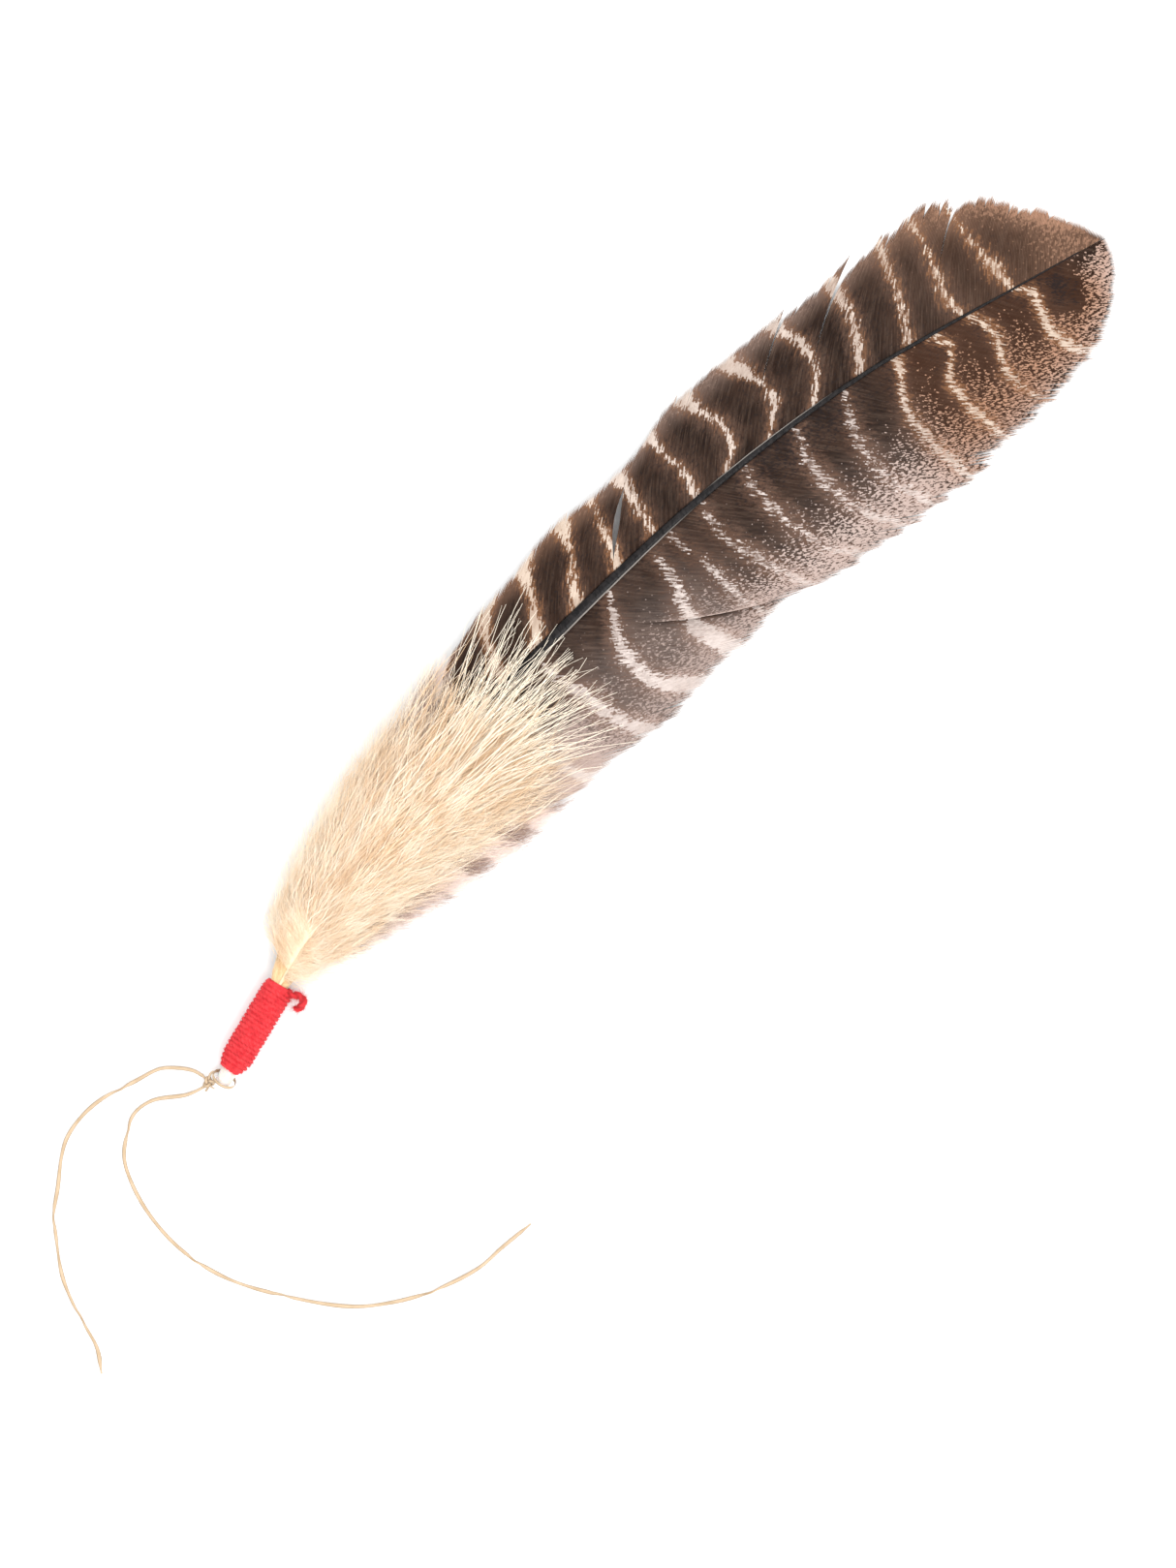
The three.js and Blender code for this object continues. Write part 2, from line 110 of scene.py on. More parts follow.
STRAND_LEFT = [
    (-0.15, -17.7, 2.2), (-3.0, -18.8, 0.9), (-7.2, -22.4, 0.55), (-8.9, -24.8, 0.55), (-10.7, -31.2, 0.55),
    (-13.1, -40.2, 0.55), (-13.3, -46.9, 0.55), (-12.0, -52.7, 0.55), (-9.7, -56.7, 0.55),
    (-4.4, -63.1, 0.55),
    (-0.6, -67.9, 0.55), (4.6, -72.0, 0.55), (12.0, -77.0, 0.55), (18.5, -79.7, 0.55), (25.2, -81.5, 0.55),
    (31.2, -83.1, 0.55), (36.6, -86.6, 0.55),
]
STRAND_RIGHT = [
    (1.9, -19.9, 2.1), (1.4, -21.8, 1.15), (0.4, -24.2, 0.68), (-4.3, -31.3, 0.55), (-4.9, -36.8, 0.55),
    (-1.8, -42.4, 0.55), (1.6, -46.1, 0.55), (7.7, -49.0, 0.55), (16.8, -51.1, 0.55), (27.7, -51.2, 0.55),
    (40.0, -48.0, 0.55),
    (52.4, -41.1, 0.55), (66.5, -30.3, 0.55), (72.3, -22.9, 0.55), (77.3, -13.7, 0.55), (81.3, -0.8, 0.55),
    (81.6, 7.2, 0.55), (82.2, 16.4, 0.55),
]

# ---------------------------------------------------------------- curves


def random_for(name):
    """A random generator of the piece's own, the same at every run."""
    return np.random.default_rng(zlib.crc32(name.encode()))


def ramp(x, low, high):
    """0 below low, 1 above high, smooth between; low may be the larger."""
    t = np.clip((x - low) / (high - low), 0, 1)
    return t * t * (3 - 2 * t)


def lerp(a, b, t):
    return a + (b - a) * t


def run_along(line):
    """Distance along line at each of its points."""
    return np.concatenate([[0], np.cumsum(np.linalg.norm(np.diff(line, axis=0), axis=1))])


def hermite(knots, values, x):
    """A smooth curve through values at knots, read at x."""
    values = np.asarray(values, float)
    slope = np.gradient(values, knots, axis=0)
    i = np.clip(np.searchsorted(knots, x, side="right") - 1, 0, len(knots) - 2)
    h = (knots[i + 1] - knots[i])
    t = np.clip((x - knots[i]) / h, 0, 1)
    if values.ndim > 1:
        h, t = h[..., None], t[..., None]
    return (values[i] * (1 + 2 * t) * (1 - t) ** 2 + values[i + 1] * t * t * (3 - 2 * t)
            + h * slope[i] * t * (1 - t) ** 2 - h * slope[i + 1] * t * t * (1 - t))


def route(points, count):
    """count points evenly spaced along a smooth curve through points."""
    points = np.array(points, float)
    knots = np.concatenate([[0], np.cumsum(np.linalg.norm(np.diff(points, axis=0), axis=1) ** 0.5)])
    dense = hermite(knots, points, np.linspace(0, knots[-1], 20 * len(points)))
    run = run_along(dense)
    even = np.linspace(0, run[-1], count)
    return np.stack([np.interp(even, run, dense[:, k]) for k in range(points.shape[1])], axis=1)


def length_of(line):
    return float(np.linalg.norm(np.diff(line, axis=0), axis=1).sum())


def wobble(rng, x, wavelength, size, waves=5):
    """A smooth wandering value of about that size and wavelength along x."""
    total = np.zeros(np.shape(x))
    for _ in range(waves):
        total = total + np.sin(2 * math.pi * x / (wavelength * rng.uniform(0.6, 1.8))
                               + rng.uniform(0, 2 * math.pi))
    return size * total / math.sqrt(waves)


def shaft_at(y):
    """The shaft's x, root height and width at y, stacked on the last axis."""
    return hermite(SHAFT_ROWS[:, 1], SHAFT_ROWS[:, [0, 2, 3]], np.asarray(y, float))


def web_height(x, y):
    """Height of the web's middle: it falls from the shaft to the table."""
    shaft = shaft_at(np.maximum(y, SHAFT_ROWS[0, 1]))
    reach = np.where(x < shaft[..., 0], VANE["left_reach"], VANE["right_reach"])
    share = np.minimum(1, np.abs(x - shaft[..., 0]) / reach)
    return VANE["edge_height"] + (shaft[..., 1] - VANE["edge_height"]) * (1 - share ** VANE["camber"])


# ---------------------------------------------------------------- meshes


def unit(v):
    return v / np.maximum(np.linalg.norm(v, axis=-1, keepdims=True), 1e-9)


def circle(sides):
    return [(math.cos(a), math.sin(a)) for a in np.linspace(0, 2 * math.pi, sides, endpoint=False)]


def frames(paths, up=(0, 0, 1)):
    """Unit tangent, sideways and upward vectors along paths [bar, step, xyz]."""
    tangent = unit(np.gradient(paths, axis=1))
    side = unit(np.cross(tangent, np.broadcast_to(np.array(up, float), paths.shape)))
    return tangent, side, np.cross(side, tangent)


def turned(side, lift, angle):
    """side and lift turned about the tangent."""
    c, s = np.cos(angle)[..., None], np.sin(angle)[..., None]
    return side * c + lift * s, lift * c - side * s


def swept(paths, side, lift, section):
    """Closed bars along paths [bar, step, xyz]: section is a loop of shares of the side and lift vectors."""
    bars, steps = paths.shape[:2]
    loop = np.array(section, float)
    points = (paths[:, :, None] + side[:, :, None] * loop[:, :1] + lift[:, :, None] * loop[:, 1:])
    index = np.arange(bars * steps * len(loop)).reshape(bars, steps, len(loop))
    near, far = index[:, :-1], index[:, 1:]
    walls = np.stack([near, np.roll(near, -1, 2), np.roll(far, -1, 2), far], axis=-1).reshape(-1, 4)
    return points.reshape(-1, 3), [walls, index[:, 0, ::-1].reshape(-1, len(loop)),
                                   index[:, -1].reshape(-1, len(loop))]


def rod(line, half, section, flat=1.0):
    """One closed bar along line, of that half width at each point."""
    _, side, lift = frames(line[None])
    return swept(line[None], side * half[None, :, None], lift * half[None, :, None] * flat, section)


def turned_profile(profile, sides, height):
    """A closed body turned about the handle's axis: profile is a loop of radius and place along."""
    along, right = handle_frame()
    profile = np.array(profile)
    angle = np.linspace(0, 2 * math.pi, sides, endpoint=False)
    ring = np.cos(angle)[:, None] * right + np.sin(angle)[:, None] * UP
    points = profile[:, None, :1] * ring[None] + profile[:, None, 1:] * along + UP * height
    index = np.arange(len(profile) * sides).reshape(-1, sides)
    after = np.roll(index, -1, 0)
    walls = np.stack([index, np.roll(index, -1, 1), np.roll(after, -1, 1), after], axis=-1).reshape(-1, 4)
    return points.reshape(-1, 3), [walls], angle


def per_corner(values, section):
    """One value per ring turned into one per vertex."""
    values = np.asarray(values, float)
    return np.repeat(values.reshape((-1,) + values.shape[2:]), len(section), axis=0)


def joined(*parts):
    """Several (points, faces) as one."""
    points, faces, offset = [], [], 0
    for some_points, some_faces in parts:
        points.append(some_points)
        faces += [f + offset for f in some_faces]
        offset += len(some_points)
    return np.concatenate(points), faces


def outward(points, faces):
    """The faces, turned to face out."""
    volume = 0
    for f in faces:
        a, b, c = points[f[:, 0]], points[f[:, 1]], points[f[:, 2]]
        volume += np.einsum("ij,ij->i", a, np.cross(b, c)).sum()
        if f.shape[1] == 4:
            volume += np.einsum("ij,ij->i", a, np.cross(c, points[f[:, 3]])).sum()
    return [f[:, ::-1] for f in faces] if volume < 0 else faces


def piece(name, shape, material, slot, stands_for=(), smooth=True, **values):
    """Adds a mesh in metres with its values per vertex, and lets it ride on the root."""
    points, faces = shape
    faces = outward(points, faces)
    mesh = bpy.data.meshes.new(name)
    mesh.vertices.add(len(points))
    mesh.vertices.foreach_set("co", (points * MM).astype(np.float32).ravel())
    sizes = np.concatenate([np.full(len(f), f.shape[1]) for f in faces])
    mesh.loops.add(int(sizes.sum()))
    mesh.loops.foreach_set("vertex_index", np.concatenate([f.ravel() for f in faces]).astype(np.int32))
    mesh.polygons.add(len(sizes))
    mesh.polygons.foreach_set("loop_start", (np.cumsum(sizes) - sizes).astype(np.int32))
    mesh.polygons.foreach_set("use_smooth", np.full(len(sizes), smooth))
    mesh.update(calc_edges=True)
    for key, value in values.items():
        value = np.asarray(value, np.float32)
        kind, field = ("FLOAT", "value") if value.ndim == 1 else ("FLOAT_VECTOR", "vector")
        mesh.attributes.new(key, kind, "POINT").data.foreach_set(field, value.ravel())
    mesh.materials.append(material)
    made = bpy.data.objects.new(name, mesh)
    bpy.context.scene.collection.objects.link(made)
    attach(made, "root")
    if stands_for:
        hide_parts(*stands_for)
    return made


# ---------------------------------------------------------------- materials


# The studio is bright enough to clear the table to white, so a surface is this much darker than it looks in
# it.
EXPOSED = 0.64


def srgb(red, green, blue, share=EXPOSED):
    """A colour given as it looks in the studio, 0 to 255 on the screen's scale."""
    screen = (red / 255, green / 255, blue / 255)
    linear = [c / 12.92 if c <= 0.04045 else ((c + 0.055) / 1.055) ** 2.4 for c in screen]
    return (*[share * c for c in linear], 1)


def bare(red, green, blue):
    """A pale colour given as it is in itself."""
    return srgb(red, green, blue, 1.0)


class Finish:
    """A material of one shader, whose inputs are worked out by nodes."""

    def __init__(self, name, **sockets):
        self.material = bpy.data.materials.new(name)
        self.material.use_nodes = True
        self.tree = self.material.node_tree
        self.shader = self.tree.nodes["Principled BSDF"]
        for key, value in sockets.items():
            self.set(key.replace("_", " "), value)

    def set(self, socket, value):
        self.feed(self.shader.inputs[socket], value)

    def feed(self, socket, value):
        if isinstance(value, bpy.types.NodeSocket):
            self.tree.links.new(value, socket)
        else:
            socket.default_value = value

    def node(self, kind, inputs, output=0, **settings):
        made = self.tree.nodes.new("ShaderNode" + kind)
        for key, value in settings.items():
            setattr(made, key, value)
        for key, value in inputs.items():
            self.feed(made.inputs[key], value)
        return made.outputs[output]

    def value(self, name):
        return self.node("Attribute", {}, "Fac", attribute_name=name)

    def vector(self, name):
        return self.node("Attribute", {}, "Vector", attribute_name=name)

    def place(self):
        return self.node("TexCoord", {}, "Object")

    def math(self, operation, *numbers):
        return self.node("Math", dict(enumerate(numbers)), operation=operation)

    def times(self, first, second):
        return self.math("MULTIPLY", first, second)

    def around(self, value, size, base):
        """base, with a value from 0 to 1 swinging it by size about its middle."""
        return self.math("MULTIPLY_ADD", self.math("SUBTRACT", value, 0.5), size, base)

    def woven(self, vector, scale, detail, roughness=0.5):
        """Noise of about that many cells per millimetre along each of a mesh's own directions."""
        return self.noise(self.scaled(vector, scale), 1.0, detail, roughness)

    def scaled(self, vector, scale):
        return self.node("Mapping", {"Vector": vector, "Scale": scale})

    def noise(self, vector, scale=1.0, detail=2.0, roughness=0.5):
        return self.node("TexNoise", {"Vector": vector, "Scale": scale, "Detail": detail,
                                      "Roughness": roughness})

    def ramp(self, value, low, high, bottom=0.0, top=1.0):
        return self.node("MapRange", {"Value": value, "From Min": low, "From Max": high, "To Min": bottom,
                                      "To Max": top}, interpolation_type="SMOOTHSTEP")

    def mix(self, share, first, second):
        return self.node("Mix", {0: share, 6: first, 7: second}, 2, data_type="RGBA")

    def surface(self, colour, fibre, roughness, *bump):
        """Sets the colour, and a roughness and a bump that both follow fibre."""
        self.set("Base Color", colour)
        self.set("Roughness", self.ramp(fibre, 0.3, 0.7, *roughness))
        self.bump(fibre, *bump)

    def bump(self, height, strength, distance):
        self.set("Normal", self.node("Bump", {"Height": height, "Strength": strength,
                                              "Distance": distance * MM}))


# ---------------------------------------------------------------- camera, light and table


def camera():
    """Straight above, through a long lens, turned so that the feather runs from lower left to upper right."""
    across, middle, turn = 388.6, (12.38, 101.25), 46.84
    data = bpy.data.cameras.new("camera")
    data.lens = 200
    data.sensor_width = 36
    data.clip_start, data.clip_end = 0.1, 20
    made = bpy.data.objects.new("camera", data)
    height = across * data.lens / data.sensor_width
    made.location = (middle[0] * MM, middle[1] * MM, height * MM)
    made.rotation_euler = (0, 0, math.radians(turn))
    bpy.context.scene.collection.objects.link(made)
    bpy.context.scene.camera = made


def area_light(name, place, size, power):
    data = bpy.data.lights.new(name, "AREA")
    data.size, data.energy = size, power
    made = bpy.data.objects.new(name, data)
    made.location = place
    direction = Vector((0, 0.1, 0)) - made.location
    made.rotation_euler = direction.to_track_quat("-Z", "Y").to_euler()
    bpy.context.scene.collection.objects.link(made)


def studio():
    scene = bpy.context.scene
    scene.view_settings.view_transform = "Standard"
    world = bpy.data.worlds.new("studio")
    world.use_nodes = True
    world.node_tree.nodes["Background"].inputs["Color"].default_value = (1, 1, 1, 1)
    world.node_tree.nodes["Background"].inputs["Strength"].default_value = 1.45
    scene.world = world
    area_light("key", (0.9, -0.1, 1.5), 0.9, 20)
    area_light("fill", (-0.8, 0.9, 1.6), 1.4, 11)


def table():
    finish = Finish("table", Roughness=0.9, Specular_IOR_Level=0.1)
    grain = finish.noise(finish.place(), 900, 3)
    finish.set("Base Color", finish.mix(grain, bare(226, 226, 226), bare(231, 231, 231)))
    finish.bump(grain, 0.1, 0.02)
    half, top = 2500, -0.05
    corners = np.array([(x * half, y * half, top) for x, y in ((-1, -1), (1, -1), (1, 1), (-1, 1))], float)
    mesh = bpy.data.meshes.new("table")
    mesh.from_pydata((corners * MM).tolist(), [], [(0, 1, 2, 3)])
    mesh.materials.append(finish.material)
    made = bpy.data.objects.new("table", mesh)
    bpy.context.scene.collection.objects.link(made)


# ---------------------------------------------------------------- raffia

STRIP = [(-1, 0.1), (-0.55, 0.75), (0, 1), (0.55, 0.75), (1, 0.1), (0.5, -0.15), (0, 0.2), (-0.5, -0.15)]


def raffia_finish():
    finish = Finish("raffia", Roughness=0.55, Specular_IOR_Level=0.35)
    along = finish.vector("weave")
    fibres = finish.woven(along, (9, 0.35, 1), 3)
    patches = finish.woven(along, (0.6, 0.22, 1), 2)
    edge = finish.ramp(finish.value("edge"), 0.62, 0.95)
    body = finish.mix(finish.ramp(patches, 0.3, 0.7), srgb(230, 204, 171), srgb(209, 182, 147))
    body = finish.mix(finish.ramp(fibres, 0.45, 0.7, 0, 0.5), body, srgb(188, 154, 118))
    finish.surface(finish.mix(finish.times(edge, 0.7), body, srgb(164, 130, 98)), fibres, (0.45, 0.7), 0.5,
                   0.08)
    return finish.material


def strip(line, twist, width, thickness=0.2):
    """A flat fibre strip along line: twist in radians and widths per point."""
    paths = line[None]
    _, side, lift = frames(paths)
    side, lift = turned(side, lift, twist[None])
    thickness = np.broadcast_to(thickness, len(line))
    shape = swept(paths, side * (width / 2)[None, :, None], lift * thickness[None, :, None], STRIP)
    across = np.tile([s for s, _ in STRIP], len(line)) * np.repeat(width / 2, len(STRIP))
    weave = np.stack([across, np.repeat(run_along(line), len(STRIP)), np.zeros(len(across))], axis=1)
    return shape, weave, np.tile([abs(s) for s, _ in STRIP], len(line))


def raffia_strand(name, points, flips, material):
    """A free strand: a flat strip that turns over at a few places and narrows there."""
    rng = random_for(name)
    length = length_of(route(points, 400))
    line = route(points, int(length / 0.5))
    run = np.linspace(0, length, len(line))
    twist = wobble(rng, run, 30, 0.35)
    thickness = 0.2
    for at in flips:
        twist += math.pi * ramp(run, at * length - 5, at * length + 5)
        thickness = thickness + 0.28 * np.exp(-((run - at * length) / 2.2) ** 2)
    width = RAFFIA_WIDTH * (1 + wobble(rng, run, 12, 0.1)) * ramp(run, length + 1.5, length - 4)
    width = np.clip(0.92 * width, 0.45, 1.2)
    shape, weave, edge = strip(line, twist, width, thickness)
    made = piece(name + "_strip", shape, material, "raffia", [name], weave=weave, edge=edge)
    return made


# ---------------------------------------------------------------- the barred web

BARB_SPACING = 0.42
BARB_STEPS = 34
BARB_BOW = 0.10
BARB_RISE = 0.1
# How far the tips of neighbouring barbs draw together, where that is more than usual.
RAGGED = {"vane_left_tip": 0.6, "vane_left_shoulder": 0.5, "vane_left_upper": 0.45}
# The open slit: whether it is at the lobe's last barb, its size, its spread and where along the barbs it
# opens.
SLITS = {"vane_left_base": (True, 0.75, 3.0, (0.08, 0.72)),
         "vane_left_lower": (False, 0.75, 3.0, (0.08, 0.72))}
# Where the wide vane's middle run rides over its base run, and the line painted along that step: a painted
# shadow on the base run's last barbs and a painted highlight on the middle run's first barbs. Each gives
# whether it is at the lobe's last barb, its size, its spread as a share of the lobe, and where along the
# barbs it sets in.
FOLDS = {"vane_right_middle": (False, 1.3, 0.06, 0.2, 0.6), "vane_right_base": (True, -0.5, 0.08, 0.2, 0.6)}
STEP_PAINTED_SHADE_AND_HIGHLIGHT = {"vane_right_middle": (False, -0.35, 0.012, 0.25, 0.5),
           "vane_right_base": (True, 0.5, 0.014, 0.25, 0.6)}
# Across a barb: its own shaft is a ridge, and its far side rides over the next barb.
BARB_SECTION = [(-0.55, -0.35), (-0.12, 0.7), (0.72, 0.5), (0.1, -0.3)]

# The pale bars, from the lowest up: x, y and half width along each.
LEFT_BARS = [
    [(-34, 96, 1.2), (-26, 90, 1.2)],
    [(-38, 115, 2.0), (-34, 110, 1.6), (-30, 107, 0.4), (-24, 104, 1.2)],
    [(-39, 127, 2.9), (-35, 124.5, 2.2), (-31, 123, 0.3), (-27, 120, 1.1), (-22, 116, 2.0)],
    [(-40, 141, 2.4), (-36, 139.5, 1.6), (-32, 137.5, -0.3), (-28.5, 133.5, 0.9), (-25, 132, 1.4),
     (-22, 129.5, 1.4)],
    [(-39, 150, 1.2), (-35, 148.5, -0.2), (-31, 146.5, 0.6), (-27, 145.8, 1.4), (-22, 143.5, 1.2)],
    [(-39, 158.5, 2.3), (-34, 158, 1.5), (-30, 157, 1.1), (-26, 156.6, 0.9), (-22, 155, 0.5)],
    [(-39, 171, 1.6), (-34, 170.6, 0.8), (-30, 171.2, 0.7), (-26, 171, 1.0), (-22, 169, 0.9)],
    [(-42, 184, 2.0), (-36, 184.5, 1.0), (-31, 186, 0.6), (-26, 185.5, 0.8), (-23, 183, 0.9),
     (-20.5, 178.5, 0.5)],
    [(-42, 197.5, 2.3), (-36, 199, 1.5), (-31, 200.5, 0.6), (-26, 200, 0.8), (-23, 197.5, 0.9),
     (-19.5, 192, 0.5)],
    [(-41, 212.5, 2.6), (-36, 213, 1.2), (-31, 214.5, 0.6), (-26, 213.3, 0.7), (-22, 211, 1.0),
     (-17.5, 205.5, 0.8)],
    [(-39, 231, 2.0), (-35, 229.5, 1.6), (-29, 228.5, 0.8), (-24, 226.2, 0.8), (-19, 223, 1.0),
     (-15, 219.5, 0.8)],
    [(-37, 246, 1.2), (-31, 243, 0.5), (-25, 241, 0.6), (-19, 237.5, 0.9), (-12.5, 233.5, 0.8)],
    [(-37, 255, 1.0), (-29, 253.5, 0.4), (-21, 250.8, 0.6), (-15, 248, 0.9), (-8.5, 248, 0.6)],
    [(-30, 263.5, 0.5), (-22, 262.6, 0.4), (-14, 262, 0.9), (-10, 261.8, 1.3), (-5, 261.5, 0.7)],
]
RIGHT_BARS = [
    [(-2, 56, 0.8), (11, 62, 1.4)],
    [(-2, 70, 0.8), (12, 75, 1.6)],
    [(-4, 84, 0.8), (5, 84, 1.2), (13, 88, 1.8)],
    [(-8, 99, 0.8), (0, 98, 1.0), (6, 100, 1.3), (13, 103, 1.8)],
    [(-14, 113, 0.8), (-5, 115.5, 1.1), (5, 117, 0.9), (13, 121, 1.5)],
    [(-18, 137, 0.5), (-12, 133, 0.8), (-5, 130, 1.3), (2, 129.5, 1.5), (7, 131.5, 2.0), (13, 138, 2.6)],
    [(-17, 152, 0.5), (-11, 151.5, 0.8), (-5, 149, 1.2), (2, 147.5, 1.5), (8, 149, 2.2), (14, 151, 2.2)],
    [(-18, 158, 0.0), (-6, 160, 0.3), (0, 160, 0.8), (5, 160.5, 0.8), (13, 163, 0.4)],
    [(-18, 168.5, 0.5), (-12, 167, 0.9), (-6, 168, 0.8), (2, 170.5, 1.0), (9, 173, 1.2), (15, 176, 1.0)],
    [(-18, 183, 0.3), (-14, 181.5, 0.7), (-7, 181.2, 0.9), (2, 182.2, 0.8), (10, 184, 0.9), (18, 190, 0.8)],
    [(-16, 199, 0.4), (-10, 195.5, 0.8), (-3, 195, 1.0), (5, 195.6, 1.0), (12, 198, 1.1), (20, 203, 1.1)],
    [(-15, 214, 0.5), (-10, 210.5, 0.8), (-4, 208, 0.9), (3, 207, 1.0), (10, 207.3, 1.0), (20, 211, 1.3)],
    [(-12, 229, 0.9), (-8, 226.6, 0.9), (-4, 223, 0.8), (1, 221.2, 0.9), (9, 221, 0.9), (22, 222.5, 1.2)],
    [(-9.5, 239.5, 0.9), (-5, 241, 0.8), (-2, 237.5, 0.5), (1, 234.5, 0.8), (10, 234, 0.9), (22, 236, 1.1)],
    [(-7.5, 249.5, 0.7), (-2, 251, 0.8), (2, 250, 0.8), (8, 246.5, 0.6), (16, 247, 0.3), (23, 249, 0.7)],
    [(-4.5, 262.5, 0.8), (-1, 265, 1.1), (4, 263, 1.0), (9, 261.5, 1.1), (16, 262.5, 1.2), (22, 268, 1.6)],
]


def bar_fields(side, x, y):
    """Phase of the bars, whole on their middles, with the gap between them and their half width."""
    bars = [np.array(sorted(b)) for b in (LEFT_BARS if side < 0 else RIGHT_BARS)]
    middles = np.stack([np.interp(x, b[:, 0], b[:, 1]) for b in bars])
    halves = np.stack([np.interp(x, b[:, 0], b[:, 2]) for b in bars])
    beyond = 15.0
    phase = -0.5 * np.clip((middles[0] - y) / (0.5 * beyond), 0, 1)
    phase = phase + 0.5 * np.clip((y - middles[-1]) / (0.5 * beyond), 0, 1)
    gap = np.full(np.shape(x), beyond)
    half = np.where(y > middles[-1], halves[-1], halves[0])
    for i in range(len(bars) - 1):
        share = np.clip((y - middles[i]) / (middles[i + 1] - middles[i]), 0, 1)
        phase = phase + share
        inside = (share > 0) & (share < 1)
        gap = np.where(inside, middles[i + 1] - middles[i], gap)
        half = np.where(inside, lerp(halves[i], halves[i + 1], share), half)
    return phase, gap, half


def locks(rng, count, smallest=5, largest=15):
    """Runs of neighbouring barbs whose tips draw together: each barb's run and its place in that run."""
    number, place = np.zeros(count, int), np.zeros(count)
    at = run = 0
    while at < count:
        size = int(rng.integers(smallest, largest))
        here = np.arange(at, min(count, at + size))
        number[here] = run
        place[here] = (here - at + 0.5) / size
        at, run = at + size, run + 1
    return number, place


def barb_lines(name, side, root, edge, spacing, steps, ragged=0.3, tuck=0.15):
    """The middle lines of a lobe's barbs, from the shaft to the ragged outline."""
    rng = random_for(name)
    count = int((root[1] - root[0]) / spacing)
    share = (np.arange(count) + 0.5) / count
    y = lerp(root[0], root[1], share)
    shaft = shaft_at(y)
    start = np.stack([shaft[:, 0] + side * (shaft[:, 2] / 2 - tuck), y], axis=1)
    outline, shares = route(edge, 400), np.linspace(0, 1, 400)

    def on_outline(s):
        return np.stack([np.interp(s, shares, outline[:, k]) for k in (0, 1)], axis=1)

    number, place = locks(rng, count)
    runs = number[-1] + 1
    middle = np.array([share[number == i].mean() for i in range(runs)])
    pull = rng.uniform(0.02, ragged, runs)
    pull[[0, -1]] = 0.05
    end = on_outline(share)
    drawn = on_outline(lerp(share, middle[number], pull[number]))
    stepped = max(1.0, 6 * ragged - 1.2)
    reach = 1 + stepped * rng.uniform(-0.022, 0.01, runs)[number]
    reach = reach - 0.018 * (2 * place - 1) ** 2 + rng.normal(0, 0.009, count)
    drawn = start + (drawn - start) * reach[:, None]
    chord = end - start
    normal = side * np.stack([chord[:, 1], -chord[:, 0]], axis=1)
    bend = (start + end) / 2 + BARB_BOW * normal
    t = np.linspace(0, 1, steps)[None, :, None]
    line = start[:, None] * (1 - t) ** 2 + 2 * bend[:, None] * t * (1 - t) + end[:, None] * t * t
    late = rng.uniform(0.72, 0.9, runs)[number][:, None, None]
    line = line + (drawn - end)[:, None] * ramp(t, late, 1.0)
    return line, share, rng


def part_at(line, share, at_end, amount, spread, reach, side):
    """Bends the barbs nearest one end of the lobe away from its neighbour, to open a slit in the web."""
    length = np.linalg.norm(line[-1, 0] - line[0, 0])
    away = (1 - share if at_end else share) * length
    t = np.linspace(0, 1, line.shape[1])
    shape = np.sin(math.pi * np.clip((t - reach[0]) / (reach[1] - reach[0]), 0, 1)) ** 1.3
    offset = amount * np.exp(-away / spread)[:, None] * shape[None]
    line[..., 1] += (-1 if at_end else 1) * offset * 0.8
    line[..., 0] += (-1 if at_end else 1) * side * -offset * 0.6
    return line


def meeting(lobes):
    """The lobes, with each one's first barb lying along the last barb of the one below it."""
    met = {}
    for name, (root, edge) in lobes.items():
        root, edge = list(root), list(edge)
        if met:
            below = met[list(met)[-1]]
            below[0][1] = root[0] = (below[0][1] + root[0]) / 2
            x, end = float(shaft_at(root[0])[0]), below[1][-1]
            k = min(1.0, (edge[0][0] - x) / (end[0] - x))
            edge = [(x + k * (end[0] - x), root[0] + k * (end[1] - root[0]))] + edge
        met[name] = [root, edge]
    return met


def beside_end(share, t, at_end, size, spread, near, far):
    """A value that is largest beside the lobe's first or last barb and sets in from near to far along it."""
    away = 1 - share if at_end else share
    return size * np.exp(-away / spread) * ramp(t, near, far)


def narrow_vane_tones(x, y, t, half):
    """How bleached, flecked, rusty and broken the narrow vane is, and its bars' half width."""
    pale = 0.46 * ramp(t, 0.6, 1.0) + 0.10 * ramp(y, 225, 262)
    pale = pale + 0.34 * ramp(y + 0.3 * (x + 16), 266, 283) + 0.35 * ramp(t, 0.88, 1.0) * ramp(y, 262, 275)
    speck = 0.15 + 0.15 * ramp(y, 255, 275)
    rust = 0.45 + 0.40 * ramp(y, 215, 262) + 0.40 * ramp(y, 165, 140)
    broken = 0.15 + 0.55 * ramp(y, 222, 236) * ramp(t, 0.95, 0.7)
    return pale, speck, rust, broken, half + 0.9 * ramp(t, 0.78, 1.0) * ramp(y, 205, 190)


